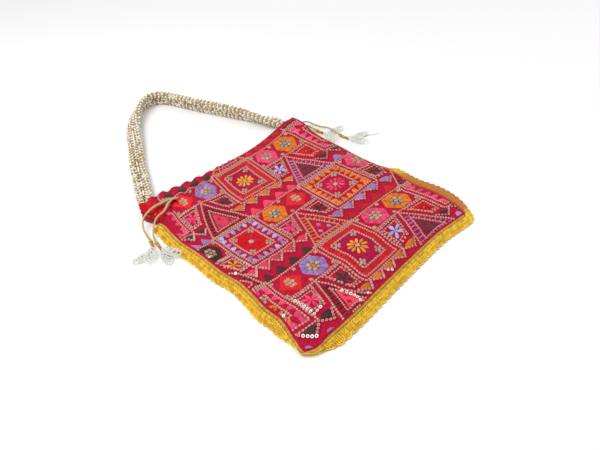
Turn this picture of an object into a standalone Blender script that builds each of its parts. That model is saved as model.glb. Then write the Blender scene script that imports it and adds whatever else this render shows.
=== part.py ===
"""Potli bag of geometric embroidery, lying flat with its beaded handle laid out on the ground.

Metres, +Z up. X runs along the mouth and +Y points out of it. The two cloth panels are mapped from
flat cloth coordinates: x across and y along the bag, both measured from the panel's middle.
"""
import math

import bmesh
import bpy
from mathutils import Vector

# Driving sizes of the cloth bag
BAG_WIDTH = 0.212
BAG_HEIGHT = 0.254
BAG_DEPTH = 0.017
CLOTH = 0.0009
CLEARANCE = 0.0003
SEAM_LIFT = 0.0025
SEAM_FALL = 0.026
CURL_LIFT = 0.003
SEAM_CLEARANCE = 0.0005
EDGE_REACH = 3
PILLOW_SIDE = 4

# Stretches of the side seams and the front, as fractions of the height down from the mouth
LIFT_STARTS = (0.03, 0.10)
CURL_STARTS = (0.04, 0.11)
CURL_ENDS = (0.55, 0.75)
LACE_CURLS = (0.60, 0.50)
LACE_RISE = 0.0035
LACE_RISES = (0.50, 0.62)
LACE_SETTLES = (0.88, 1.0)
MOUTH_CLOSES = (0.02, 0.13)
CREST_RISES = (0.1, 0.4)
CREST_FALLS = 0.45

# Mouth hem, its cord tunnel and the slit that the left drawstring comes out of
HEM_DEPTH = 0.026
TUNNEL = 0.0026
MOUTH_GAP = 0.006
HEM_TAB = 0.002
HEM_RAMP = 0.004
HEM_SIDE = 0.010
HEM_ROWS = 7
FOLD_ROWS = 5
RETURN_ROWS = 5
SLIT_LENGTH = 0.012
SLIT_WIDTH = 0.0056
SLIT_FROM_SIDE = 0.033
LANE_RIGHT = 0.013
LANE_LEFT = 0.0185
LANE_TWIN = 0.0024
GRID_CLEAR = 0.003

# Embroidery grid
SQUARE_PITCH = 0.112
ROW_PITCH = 0.0811
SQUARE_WIDTH = 0.048
SQUARE_HEIGHT = 0.056
PATTERN_FROM_LEFT = 0.100
PATTERN_FROM_MOUTH = 0.048

# Scalloped lace
LACE_WIDTH = 0.012
LACE_HEADER = 0.0028
LACE_INSET = 0.004
LACE_THICKNESS = 0.0008
LACE_CORNER = 0.002
LACE_DROP = 0.0004
LACE_BELOW_HEM = 0.004
SCALLOP_PITCH = 0.0065
SCALLOP_DEPTH = 0.0013
SCALLOP_STATIONS = 3
CURL_OUT = 0.0022
CURL_UNDER = 0.006

# Drawstrings, the pieces on their ends, and the handle
CORD = 0.0018
CORD_TURN = 0.007
TURN_FLATTENED = 0.85
TURN_STEPS = 6
TUNNEL_STEPS = 10
ROUTE_SPACING = 0.009
KNOT = 0.004
TUBE_BEAD = 0.0032
TUBE_LENGTH = 0.009
PETAL_LENGTH = 0.022
PETAL_WIDTH = 0.010
PETAL_WIRE = 0.0024
PETAL_STEPS = 16
PETAL_CLEAR = 0.004
PETAL_LEAN = 0.0007
ROPE = 0.009
ROPE_END = 0.005
ROPE_TUCK = 0.013
ROPE_TAPER = 0.014
ROPE_TILT = math.radians(80)

# How far each edge is drawn in from the flat rectangle, at fractions along that edge
LEFT_EDGE = ((0, 0.002), (0.03, -0.002), (0.09, 0.001), (0.14, 0.0045), (0.20, 0.0025),
             (0.28, 0.0005), (0.40, 0.0015), (0.52, 0.0005), (0.61, 0.0025), (0.69, 0.0005),
             (0.78, -0.003), (0.88, -0.002), (1, -0.003))
RIGHT_EDGE = ((0, -0.003), (0.06, -0.005), (0.12, -0.003), (0.20, 0.0), (0.31, 0.0005),
              (0.44, 0.002), (0.53, 0.001), (0.61, -0.001), (0.72, 0.0), (0.82, -0.003),
              (0.93, -0.0005), (1, 0.005))
MOUTH_EDGE = ((0, -0.003), (0.1, -0.0025), (0.2, 0.0015), (0.3, 0.0055), (0.42, 0.0095),
              (0.55, 0.0125), (0.66, 0.013), (0.76, 0.0105), (0.86, 0.0055), (0.95, 0.001),
              (1, 0.001))
BOTTOM_EDGE = ((0, 0.001), (0.08, 0.0045), (0.2, 0.0035), (0.4, -0.0005), (0.6, -0.004),
               (0.8, -0.0065), (0.93, -0.005), (1, -0.004))

HEM_STACK = 2 * CLOTH + TUNNEL
LACE_START = HEM_DEPTH + LACE_BELOW_HEM
MOUTH_HEIGHT = 2 * HEM_STACK + MOUTH_GAP
SEAM_STACK = 2 * CLOTH + LACE_THICKNESS + 2 * SEAM_CLEARANCE
SIDE = BAG_WIDTH / 2
END = BAG_HEIGHT / 2
GAP_MIDDLE = HEM_STACK + MOUTH_GAP / 2

COLOURS = {
    "crimson": (0.56, 0.01, 0.05), "satin_red": (0.66, 0.02, 0.04), "pink": (0.80, 0.07, 0.20),
    "orange": (0.83, 0.30, 0.05), "lilac": (0.45, 0.28, 0.60), "blue": (0.50, 0.55, 0.80),
    "brown": (0.11, 0.04, 0.03), "beige": (0.52, 0.40, 0.28), "lining": (0.42, 0.01, 0.04),
}
CLOTH_FIELDS = tuple(COLOURS)
BIG_SQUARES = (("satin_red", "pink"), ("lilac", "orange"))
HEXAGONS = ((("pink", "orange"), ("satin_red", "lilac")), (("orange", "satin_red"), ("pink", "brown")))
STARS = ((("blue", "satin_red"), ("pink", "brown")), (("pink", "brown"), ("brown", "orange")))
LADDERS = (("lilac", "brown"), ("orange", "brown"))
BANDS = (("orange", "brown"), ("pink", "lilac"))


def smooth(low, high, value):
    """Ease from 0 at low to 1 at high."""
    part = min(max((value - low) / (high - low), 0), 1)
    return part * part * (3 - 2 * part)


def along(points, value):
    """Smooth curve through (place, amount) pairs."""
    value = min(max(value, points[0][0]), points[-1][0])
    last = len(points) - 1
    index = next(i for i in range(last) if value <= points[i + 1][0])

    def slope(i):
        low, high = points[max(i - 1, 0)], points[min(i + 1, last)]
        return (high[1] - low[1]) / (high[0] - low[0])

    start, end = points[index], points[index + 1]
    width = end[0] - start[0]
    u = (value - start[0]) / width
    return ((2 * u ** 3 - 3 * u ** 2 + 1) * start[1] + (u ** 3 - 2 * u ** 2 + u) * width * slope(index)
            + (3 * u ** 2 - 2 * u ** 3) * end[1] + (u ** 3 - u ** 2) * width * slope(index + 1))


def fractions(x, y):
    """Fractions across from the left edge and down from the mouth."""
    return (x + SIDE) / BAG_WIDTH, (END - y) / BAG_HEIGHT


def cloth_xy(x, y):
    """Where a point of the flat cloth lies once its edges are drawn in."""
    s, t = fractions(x, y)
    left = along(LEFT_EDGE, t) * max(1 - s, 0) ** EDGE_REACH
    right = along(RIGHT_EDGE, t) * max(s, 0) ** EDGE_REACH
    bottom = along(BOTTOM_EDGE, s) * max(t, 0) ** EDGE_REACH
    mouth = along(MOUTH_EDGE, s) * max(1 - t, 0) ** EDGE_REACH
    return x + left - right, y - bottom - mouth


def side_lifts(t):
    """How high the left and right seams are held off the ground."""
    left = SEAM_LIFT * smooth(*LIFT_STARTS, t)
    right = left + CURL_LIFT * smooth(*CURL_STARTS, t) * (1 - smooth(*CURL_ENDS, t))
    return left, right


def back_height(x, y):
    """Height of the back panel's outer face, flat on the ground and lifted at the seams."""
    s, t = fractions(x, y)
    left, right = side_lifts(t)
    near_left = max(1 - s * BAG_WIDTH / SEAM_FALL, 0) ** 2
    near_right = max(1 - (1 - s) * BAG_WIDTH / SEAM_FALL, 0) ** 2
    near_bottom = SEAM_LIFT * max(1 - (1 - t) * BAG_HEIGHT / SEAM_FALL, 0) ** 2
    sides = left * min(near_left, 1) + right * min(near_right, 1)
    return sides + min(near_bottom, SEAM_LIFT) * max(1 - sides / SEAM_LIFT, 0)


def front_height(x, y):
    """Height of the front panel's outer face, a low pillow between the seams and the mouth."""
    s, t = fractions(x, y)
    left, right = side_lifts(t)
    mouth = (MOUTH_HEIGHT - SEAM_STACK) * (1 - smooth(*MOUTH_CLOSES, t))
    seam = left + (right - left) * smooth(0.3, 0.7, s) + SEAM_STACK + mouth
    crest = MOUTH_HEIGHT + (BAG_DEPTH - MOUTH_HEIGHT) * smooth(*CREST_RISES, t)
    crest = seam + (crest - seam) * (1 - max((t - CREST_FALLS) / (1 - CREST_FALLS), 0) ** 3)
    across = 1 - min(abs(2 * s - 1), 1) ** PILLOW_SIDE
    return seam + (crest - seam) * across


def cloth_point(front, x, y, inward=0.0):
    """Point on a panel's outer face, or that far towards the inside of the bag."""
    px, py = cloth_xy(x, y)
    if front:
        return Vector((px, py, front_height(x, y) - inward))
    return Vector((px, py, back_height(x, y) + inward))


def pattern_place(x, y):
    """Row, column and offset from the middle of the nearest big square."""
    from_left = x + SIDE - PATTERN_FROM_LEFT
    from_row = END - PATTERN_FROM_MOUTH - y
    row = round(from_row / ROW_PITCH)
    shift = 0.5 * (row % 2)
    column = round(from_left / SQUARE_PITCH - shift)
    return row, column, from_left - (column + shift) * SQUARE_PITCH, row * ROW_PITCH - from_row


def field_at(x, y):
    """Colour of the embroidery at a place on the flat cloth."""
    row, column, dx, dy = pattern_place(x, y)
    odd_row, odd_column = row % 2, column % 2
    if abs(dx) < SQUARE_WIDTH / 2 and abs(dy) < SQUARE_HEIGHT / 2:
        if abs(dx) < SQUARE_WIDTH / 4 and abs(dy) < SQUARE_HEIGHT / 4:
            return "beige"
        return BIG_SQUARES[odd_row][odd_column]
    between = column if dx > 0 else column - 1
    aside = abs(dx) - SQUARE_PITCH / 2
    side = 0 if dx > 0 else 1
    if abs(dx) > SQUARE_WIDTH / 2 and dy > 0:
        return HEXAGONS[odd_row][between % 2][side]
    ladder_half = SQUARE_WIDTH / 2 * -dy / (ROW_PITCH - SQUARE_HEIGHT / 2)
    if abs(aside) < ladder_half:
        return LADDERS[odd_row][between % 2]
    if abs(dx) > SQUARE_WIDTH / 2 and dy > -SQUARE_HEIGHT / 2:
        return STARS[odd_row][between % 2][side]
    return BANDS[odd_row][odd_column] if -dy < ROW_PITCH / 2 else "crimson"


def make_material(name, colour, roughness, metallic=0.0, alpha=1.0):
    """Principled material."""
    material = bpy.data.materials.new(name)
    material.diffuse_color = (*colour, alpha)
    material.use_nodes = True
    shader = material.node_tree.nodes["Principled BSDF"]
    shader.inputs["Base Color"].default_value = (*colour, 1)
    shader.inputs["Roughness"].default_value = roughness
    shader.inputs["Metallic"].default_value = metallic
    shader.inputs["Alpha"].default_value = alpha
    return material


def add_object(name, data, collection, root, materials):
    """Link mesh or curve data as a named piece of the bag."""
    piece = bpy.data.objects.new(name, data)
    collection.objects.link(piece)
    piece.parent = root
    for material in materials:
        data.materials.append(material)
    return piece


def pattern_lines(low, high, pitch, origin, offsets):
    """Sorted places of the embroidery's lines between two edges of the cloth."""
    first = math.floor((low - origin) / pitch) - 1
    last = math.ceil((high - origin) / pitch) + 1
    places = {low, high}
    for step in range(first, last + 1):
        for offset in offsets:
            place = origin + step * pitch + offset
            if low + GRID_CLEAR < place < high - GRID_CLEAR:
                places.add(round(place, 6))
    return sorted(places)


def panel_columns(front):
    """Grid lines across the cloth, with one where the hem's return stops short of each side."""
    half, quarter = SQUARE_WIDTH / 2, SQUARE_WIDTH / 4
    offsets = (0, quarter, -quarter, half, -half) if front else (0, half, -half)
    lines = pattern_lines(-SIDE, SIDE, SQUARE_PITCH / 2, PATTERN_FROM_LEFT - SIDE, offsets)
    ends = [way * (SIDE - inset) for way in (-1, 1) for inset in (HEM_SIDE, LACE_INSET)]
    clear = [x for x in lines
             if min(abs(x - end) for end in ends) > GRID_CLEAR or abs(x) > SIDE - 1e-6]
    return sorted(clear + ends)


def panel_rows():
    """Grid lines from the bottom to the mouth, even within the hem."""
    half, quarter = SQUARE_HEIGHT / 2, SQUARE_HEIGHT / 4
    band = -(ROW_PITCH / 2)
    offsets = (0, quarter, -quarter, half, -half, band)
    origin = END - PATTERN_FROM_MOUTH
    top = END - HEM_DEPTH - HEM_TAB
    rows = pattern_lines(-END + LACE_INSET, top, ROW_PITCH, origin, offsets)
    rows.insert(0, -END)
    return rows + [top + (END - top) * (i + 1) / HEM_ROWS for i in range(HEM_ROWS)]


def hem_rows():
    """Offsets of the folded hem: forward of the mouth, back along the cloth, and inward."""
    radius = HEM_STACK / 2
    turns = [math.pi * (i + 1) / FOLD_ROWS for i in range(FOLD_ROWS)]
    fold = [(radius * math.sin(turn), 0.0, radius * (1 - math.cos(turn))) for turn in turns]
    flat = HEM_DEPTH - HEM_TAB - HEM_RAMP
    back = [(0.0, flat * (i + 1) / RETURN_ROWS, HEM_STACK) for i in range(RETURN_ROWS)]
    sewn = 2 * CLOTH + CLEARANCE
    return fold + back + [(0.0, HEM_DEPTH - HEM_TAB, sewn), (0.0, HEM_DEPTH, sewn)]


def add_panel(name, front, collection, root, materials):
    """One panel: embroidered cloth whose mouth edge is folded in as the cord tunnel."""
    columns, rows, hem = panel_columns(front), panel_rows(), hem_rows()
    mesh = bmesh.new()
    flat = {}
    grid = [[mesh.verts.new((x, y, 0)) for x in columns] for y in rows]
    for row_index, y in enumerate(rows):
        for column_index, x in enumerate(columns):
            flat[grid[row_index][column_index]] = cloth_point(front, x, y)
    folded = []
    for forward, back, inward in hem:
        line = []
        for x in columns:
            place = cloth_point(front, x, END - back, inward) + Vector((0, forward, 0))
            vert = mesh.verts.new((x, END + forward + back + inward, 0))
            flat[vert] = place
            line.append(vert)
        folded.append(line)
    grid += folded
    return_starts = len(rows) + FOLD_ROWS - 1
    for r in range(len(grid) - 1):
        for c in range(len(columns) - 1):
            at_side = columns[c] < -SIDE + HEM_SIDE - 1e-6 or columns[c] > SIDE - HEM_SIDE - 1e-6
            if at_side and r >= return_starts:
                continue
            corners = (grid[r][c], grid[r][c + 1], grid[r + 1][c + 1], grid[r + 1][c])
            mesh.faces.new(corners if front else corners[::-1])
    if front:
        cut_slit(mesh, flat)
    paint_fields(mesh, flat, front)
    for vert in mesh.verts:
        vert.co = flat[vert]
    loose = [vert for vert in mesh.verts if not vert.link_faces]
    bmesh.ops.delete(mesh, geom=loose, context="VERTS")
    data = bpy.data.meshes.new(name)
    mesh.to_mesh(data)
    mesh.free()
    panel = add_object(name, data, collection, root, materials)
    shell = panel.modifiers.new("cloth", "SOLIDIFY")
    shell.thickness = CLOTH
    shell.offset = -1
    shell.use_even_offset = True
    shell.material_offset = len(CLOTH_FIELDS)
    data.shade_smooth()
    data.set_sharp_from_angle(angle=math.radians(50))
    return panel


def bisect(mesh, flat, faces, point, normal):
    """Cut flat faces of the front along a line and place the new corners on the cloth."""
    geometry = set(faces)
    for face in faces:
        geometry.update(face.verts, face.edges)
    before = set(mesh.verts)
    bmesh.ops.bisect_plane(mesh, geom=list(geometry), plane_co=(*point, 0), plane_no=(*normal, 0), dist=1e-6)
    for vert in set(mesh.verts) - before:
        flat[vert] = cloth_point(True, vert.co.x, vert.co.y)


def cut_slit(mesh, flat):
    """Open the slit through the front cloth, above the tunnel."""
    middle_x = SLIT_FROM_SIDE - SIDE
    middle_y = END - LANE_LEFT
    low = (middle_x - SLIT_LENGTH / 2, middle_y - SLIT_WIDTH / 2)
    high = (middle_x + SLIT_LENGTH / 2, middle_y + SLIT_WIDTH / 2)
    for axis, place in ((0, low[0]), (0, high[0]), (1, low[1]), (1, high[1])):
        near = [face for face in mesh.faces if spans(face, low, high)]
        normal = (1, 0) if axis == 0 else (0, 1)
        point = (place, middle_y) if axis == 0 else (middle_x, place)
        bisect(mesh, flat, near, point, normal)
    inside = [face for face in mesh.faces
              if low[0] < face.calc_center_median().x < high[0]
              and low[1] < face.calc_center_median().y < high[1]]
    bmesh.ops.delete(mesh, geom=inside, context="FACES")


def spans(face, low, high):
    """Whether a flat face meets a box."""
    xs = [vert.co.x for vert in face.verts]
    ys = [vert.co.y for vert in face.verts]
    return min(xs) < high[0] and max(xs) > low[0] and min(ys) < high[1] and max(ys) > low[1]


def paint_fields(mesh, flat, front):
    """Cut the cloth along the ladder triangles and give each face its field of colour."""
    if front:
        origin_x, origin_y = PATTERN_FROM_LEFT - SIDE, END - PATTERN_FROM_MOUTH
        rise = ROW_PITCH - SQUARE_HEIGHT / 2
        for row in range(-1, 3):
            for column in range(-1, 2):
                apex_x = origin_x + (column + 0.5 + 0.5 * (row % 2)) * SQUARE_PITCH
                apex_y = origin_y - row * ROW_PITCH
                for way in (-1, 1):
                    low = (min(apex_x, apex_x + way * SQUARE_WIDTH / 2) + 1e-5, apex_y - rise + 1e-5)
                    high = (max(apex_x, apex_x + way * SQUARE_WIDTH / 2) - 1e-5, apex_y - 1e-5)
                    limit = END - HEM_DEPTH - HEM_TAB
                    near = [face for face in mesh.faces if spans(face, low, high)
                            and max(vert.co.y for vert in face.verts) < limit + 1e-6]
                    if near:
                        bisect(mesh, flat, near, (apex_x, apex_y), (rise, way * SQUARE_WIDTH / 2))
    for face in mesh.faces:
        place = face.calc_center_median()
        name = field_at(place.x, place.y) if place.y < END else "crimson"
        face.material_index = CLOTH_FIELDS.index(name)


def lace_stations():
    """Places and outward directions along three sides of the flat cloth, inside the seam."""
    inset_x, inset_y = SIDE - LACE_INSET, END - LACE_INSET
    top = END - LACE_START
    straight_side = top + inset_y - LACE_CORNER
    straight_bottom = 2 * (inset_x - LACE_CORNER)
    arc = math.pi / 2 * LACE_CORNER
    swing = math.pi / 2 * (LACE_WIDTH + LACE_INSET)
    runs = ((straight_side, straight_side), (arc, swing), (straight_bottom, straight_bottom),
            (arc, swing), (straight_side, straight_side))
    stations = []
    for index, (length, outer) in enumerate(runs):
        count = SCALLOP_STATIONS * max(round(outer / SCALLOP_PITCH), 1)
        for step in range(count):
            part = step / count
            phase = step / SCALLOP_STATIONS
            if index == 0:
                stations.append((-inset_x, top - length * part, -1, 0, phase))
            elif index == 1:
                turn = math.pi / 2 * part
                stations.append((-inset_x + LACE_CORNER * (1 - math.cos(turn)),
                                 -inset_y + LACE_CORNER * (1 - math.sin(turn)),
                                 -math.cos(turn), -math.sin(turn), phase))
            elif index == 2:
                stations.append((-inset_x + LACE_CORNER + length * part, -inset_y, 0, -1, phase))
            elif index == 3:
                turn = math.pi / 2 * part
                stations.append((inset_x - LACE_CORNER * (1 - math.sin(turn)),
                                 -inset_y + LACE_CORNER * (1 - math.cos(turn)),
                                 math.sin(turn), -math.cos(turn), phase))
            else:
                stations.append((inset_x, -inset_y + LACE_CORNER + length * part, 1, 0, phase))
    stations.append((inset_x, top, 1, 0, 0.0))
    return stations


def add_lace(collection, root, material):
    """Scalloped lace caught between the panels on three sides, curled under on the upper right."""
    mesh = bmesh.new()
    rows = []
    for x, y, nx, ny, phase in lace_stations():
        seam = cloth_point(False, x + nx * LACE_INSET, y + ny * LACE_INSET).z
        above = CLOTH + SEAM_CLEARANCE + LACE_THICKNESS
        t = fractions(x, y)[1]
        curl = smooth(*LACE_CURLS, t) if nx > 0.99 else 0.0
        reach = LACE_WIDTH - SCALLOP_DEPTH * (1 - abs(math.sin(math.pi * phase)))
        top = seam + above
        risen = smooth(*LACE_RISES, t) * (1 - smooth(*LACE_SETTLES, t)) if nx > 0.99 else 0.0
        rim = LACE_THICKNESS + LACE_RISE * risen
        flat_places = ((0, None), (LACE_INSET, top), (LACE_INSET + LACE_HEADER, top - LACE_DROP),
                       (LACE_INSET + reach, rim))
        curled = ((0, None), (LACE_INSET, top), (LACE_INSET + CURL_OUT, top / 2),
                  (LACE_INSET - CURL_UNDER + LACE_WIDTH - reach, LACE_THICKNESS))
        line = []
        for (offset, height), (curled_offset, curled_height) in zip(flat_places, curled):
            out = offset + (curled_offset - offset) * curl
            px, py = cloth_xy(x + nx * out, y + ny * out)
            if height is None:
                z = cloth_point(False, x, y).z + above
            else:
                z = height + (curled_height - height) * curl
            line.append(mesh.verts.new((px, py, z)))
        rows.append(line)
    for first, second in zip(rows, rows[1:]):
        for c in range(len(first) - 1):
            mesh.faces.new((first[c], first[c + 1], second[c + 1], second[c]))
    data = bpy.data.meshes.new("lace_trim")
    mesh.to_mesh(data)
    mesh.free()
    lace = add_object("lace_trim", data, collection, root, [material])
    shell = lace.modifiers.new("thickness", "SOLIDIFY")
    shell.thickness = LACE_THICKNESS
    shell.offset = -1
    data.shade_smooth()
    data.set_sharp_from_angle(angle=math.radians(50))
    return lace


def smooth_route(points, spacing):
    """Places on a smooth curve through a route's own points, about that far apart."""
    points = [Vector(point) for point in points]
    ends = [2 * points[0] - points[1]] + points + [2 * points[-1] - points[-2]]
    route = []
    for a, b, c, d in zip(ends, ends[1:], ends[2:], ends[3:]):
        steps = max(round((c - b).length / spacing), 1)
        for step in range(steps):
            u = step / steps
            route.append(0.5 * (2 * b + (c - a) * u + (2 * a - 5 * b + 4 * c - d) * u ** 2
                                + (3 * b - a - 3 * c + d) * u ** 3))
    return route + [points[-1]]


def add_tube(name, route, diameter, collection, root, material, sides=2, closed=False, radii=None):
    """Round cord along a route."""
    curve = bpy.data.curves.new(name, "CURVE")
    curve.dimensions = "3D"
    curve.bevel_depth = diameter / 2
    curve.bevel_resolution = sides
    curve.use_fill_caps = not closed
    spline = curve.splines.new("POLY")
    spline.points.add(len(route) - 1)
    for index, point in enumerate(route):
        spline.points[index].co = (*point, 1)
        spline.points[index].radius = radii[index] if radii else 1.0
    spline.use_cyclic_u = closed
    spline.use_smooth = True
    return add_object(name, curve, collection, root, [material])


def tunnel_point(front, x, lane):
    """Middle of the cord tunnel, a lane's distance below the mouth edge."""
    return cloth_point(front, x, END - lane, CLOTH + TUNNEL / 2)


def tunnel_run(front, start, end, lane, count):
    """Places along a tunnel from one x to another."""
    return [tunnel_point(front, start + (end - start) * i / count, lane) for i in range(count + 1)]


def corner_turn(side, lane, downward):
    """Half circle that takes a cord round the mouth's corner from one tunnel to the other."""
    x = side * (SIDE - CORD_TURN)
    upper, lower = tunnel_point(True, x, lane), tunnel_point(False, x, lane)
    middle = (upper + lower) / 2
    radius = (upper.z - lower.z) / 2
    turn = []
    for step in range(1, TURN_STEPS):
        angle = math.pi * step / TURN_STEPS
        height = math.cos(angle) if downward else -math.cos(angle)
        out = side * radius * TURN_FLATTENED * math.sin(angle)
        turn.append(middle + Vector((out, 0, radius * height)))
    return turn


def add_string_end(prefix, tip, heading, spreads, collection, root, materials):
    """Knot, tube bead and two bead petals beyond a drawstring's tip."""
    heading = Vector((math.cos(math.radians(heading)), math.sin(math.radians(heading)), 0))
    sideways = Vector((-heading.y, heading.x, 0))
    centre = tip + heading * (CLEARANCE + KNOT / 2)
    centre.z = KNOT / 2 + CLEARANCE
    mesh = bmesh.new()
    bmesh.ops.create_uvsphere(mesh, u_segments=10, v_segments=6, radius=KNOT / 2)
    data = bpy.data.meshes.new(prefix + "_knot")
    mesh.to_mesh(data)
    mesh.free()
    data.shade_smooth()
    knot = add_object(prefix + "_knot", data, collection, root, [materials["brass_cord"]])
    knot.location = centre
    mesh = bmesh.new()
    bmesh.ops.create_cone(mesh, cap_ends=True, segments=12, radius1=TUBE_BEAD / 2,
                          radius2=TUBE_BEAD / 2, depth=TUBE_LENGTH)
    data = bpy.data.meshes.new(prefix + "_tube_bead")
    mesh.to_mesh(data)
    mesh.free()
    data.shade_smooth()
    data.set_sharp_from_angle(angle=math.radians(50))
    bead = add_object(prefix + "_tube_bead", data, collection, root, [materials["copper"]])
    reach = KNOT / 2 + CLEARANCE + TUBE_LENGTH / 2
    bead.location = centre + heading * reach
    bead.location.z = TUBE_BEAD / 2 + CLEARANCE
    bead.rotation_euler = (0, math.pi / 2, math.atan2(heading.y, heading.x))
    root_of_petals = bead.location + heading * (TUBE_LENGTH / 2 + CLEARANCE)
    for level, spread in enumerate(spreads):
        letter = "ab"[level]
        turned = math.radians(spread)
        way = heading * math.cos(turned) + sideways * math.sin(turned)
        across = Vector((-way.y, way.x, 0))
        clear = heading * (PETAL_CLEAR * math.sin(turned) ** 2 - level * PETAL_LEAN)
        loop = []
        for step in range(PETAL_STEPS):
            angle = 2 * math.pi * step / PETAL_STEPS
            out = PETAL_LENGTH / 2 * (1 - math.cos(angle))
            width = PETAL_WIDTH / 2 * math.sin(angle) * (0.9 - 0.1 * math.cos(angle))
            place = root_of_petals + clear + way * (PETAL_WIRE / 2 + out) + across * width
            place.z = PETAL_WIRE / 2 + CLEARANCE + level * (PETAL_WIRE + CLEARANCE)
            loop.append(place)
        add_tube(prefix + "_petal_" + letter, loop, PETAL_WIRE, collection, root,
                 materials["clear_beads"], sides=1, closed=True)


def left_corner(x, y, z):
    """Place measured from the cloth's left mouth corner."""
    return Vector((x - SIDE, y + END, z))


def right_corner(x, y, z):
    """Place measured from the cloth's right mouth corner."""
    return Vector((x + SIDE, y + END, z))


def on_front(x, y, above):
    """Place above the front cloth, measured from the left mouth corner."""
    return cloth_point(True, x - SIDE, y + END, -above)


def add_left_drawstring(collection, root, materials):
    """Drawstring whose two ends leave the slit in the front and hang over the left corner."""
    slit_x = SLIT_FROM_SIDE - SIDE
    outer, inner = LANE_LEFT - LANE_TWIN / 2, LANE_LEFT + LANE_TWIN / 2
    turn_x = SIDE - CORD_TURN
    outer_end = [left_corner(-0.0165, -0.0390, 0.0026), left_corner(-0.0150, -0.0310, 0.0026),
                 left_corner(-0.0125, -0.0225, 0.0050), left_corner(-0.0065, -0.0155, 0.0105),
                 on_front(0.006, -0.0170, 0.0030), on_front(0.017, -0.0172, 0.0024),
                 on_front(0.026, -outer, 0.0016)]
    inner_end = [left_corner(-0.0145, -0.0460, 0.0026), left_corner(-0.0115, -0.0380, 0.0034),
                 left_corner(-0.0050, -0.0305, 0.0075), left_corner(0.0030, -0.0262, 0.0115),
                 on_front(0.012, -0.0265, 0.0024), on_front(0.022, -0.0220, 0.0024),
                 on_front(0.029, -inner, 0.0021)]
    route = list(outer_end)
    route.append(cloth_point(True, slit_x, END - outer, CLOTH / 2))
    route += tunnel_run(True, slit_x + 0.007, turn_x, outer, TUNNEL_STEPS)
    route += corner_turn(1, outer, True)
    route += tunnel_run(False, turn_x, -turn_x, outer, TUNNEL_STEPS)
    route += corner_turn(-1, inner, False)
    route += tunnel_run(True, -turn_x, slit_x - 0.003, inner, 3)
    route.append(cloth_point(True, slit_x + 0.0018, END - inner, CLOTH / 2))
    route += list(reversed(inner_end))
    route = smooth_route(route, ROUTE_SPACING)
    add_tube("drawstring_left", route, CORD, collection, root, materials["gold_cord"])
    add_string_end("left_outer", route[0], -112, (-73, -23), collection, root, materials)
    add_string_end("left_inner", route[-1], -100, (-5, 28), collection, root, materials)


def add_right_drawstring(collection, root, materials):
    """Drawstring whose two ends leave the open side of the tunnel at the right corner."""
    turn_x = SIDE - CORD_TURN
    far_end = [right_corner(0.0236, -0.0550, 0.0026), right_corner(0.0234, -0.0475, 0.0049),
               right_corner(0.0232, -0.0370, 0.0049), right_corner(0.0228, -0.0270, 0.0024),
               right_corner(0.0205, -0.0170, 0.0030), right_corner(0.0150, -0.0100, 0.0066)]
    near_end = [right_corner(0.0138, -0.0265, 0.0026), right_corner(0.0138, -0.0205, 0.0029),
                right_corner(0.0130, -0.0140, 0.0036), right_corner(0.0070, -0.0092, 0.0040)]
    route = list(far_end)
    route += tunnel_run(True, turn_x, -turn_x, LANE_RIGHT, TUNNEL_STEPS)
    route += corner_turn(-1, LANE_RIGHT, True)
    route += tunnel_run(False, -turn_x, turn_x, LANE_RIGHT, TUNNEL_STEPS)
    route += list(reversed(near_end))
    route = smooth_route(route, ROUTE_SPACING)
    add_tube("drawstring_right", route, CORD, collection, root, materials["gold_cord"])
    add_string_end("right_far", route[0], -85, (77, 10), collection, root, materials)
    add_string_end("right_near", route[-1], -84, (80, -20), collection, root, materials)


# Middle of the handle: nearest mouth corner, place from it, roll of the pair, and rise into the mouth
HANDLE_MIDDLE = (
    (left_corner, 0.0090, -0.004, 0.0, 1.0), (left_corner, 0.0110, 0.008, 0.0, 1.0),
    (left_corner, 0.0185, 0.022, 0.0, 0.2), (left_corner, 0.0300, 0.044, 0.0, 0.0),
    (left_corner, 0.0475, 0.079, 0.0, 0.0), (left_corner, 0.0670, 0.112, 0.1, 0.0),
    (left_corner, 0.0870, 0.146, 0.3, 0.0), (left_corner, 0.1090, 0.172, 0.6, 0.0),
    (right_corner, -0.0790, 0.184, 0.9, 0.0), (right_corner, -0.0630, 0.176, 1.0, 0.0),
    (right_corner, -0.0540, 0.154, 1.0, 0.0), (right_corner, -0.0445, 0.122, 1.0, 0.0),
    (right_corner, -0.0330, 0.090, 1.0, 0.0), (right_corner, -0.0245, 0.063, 0.9, 0.0),
    (right_corner, -0.0170, 0.040, 0.6, 0.0), (right_corner, -0.0105, 0.023, 0.25, 0.3),
    (right_corner, -0.0070, 0.006, 0.0, 1.0), (right_corner, -0.0060, -0.006, 0.0, 1.0),
)


def handle_route(way):
    """One rope of the pair: side by side on the left run, one over the other on the right run."""
    middle = [(corner(x, y, 0), roll, rise) for corner, x, y, roll, rise in HANDLE_MIDDLE]
    route = []
    last = len(middle) - 1
    for index, (place, roll, rise) in enumerate(middle):
        ahead = middle[min(index + 1, last)][0] - middle[max(index - 1, 0)][0]
        sideways = Vector((-ahead.y, ahead.x, 0)).normalized()
        wide = ROPE + (ROPE_END - ROPE) * smooth(0.5, 1, rise)
        apart = wide / 2 + CLEARANCE
        tilt = ROPE_TILT * roll
        place = place + sideways * way * apart * math.cos(tilt)
        ground = ROPE / 2 + CLEARANCE
        place.z = ground + (GAP_MIDDLE - ground) * rise + apart * math.sin(tilt) * (1 - way)
        route.append(place)
    return smooth_route(route, ROPE)


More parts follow.
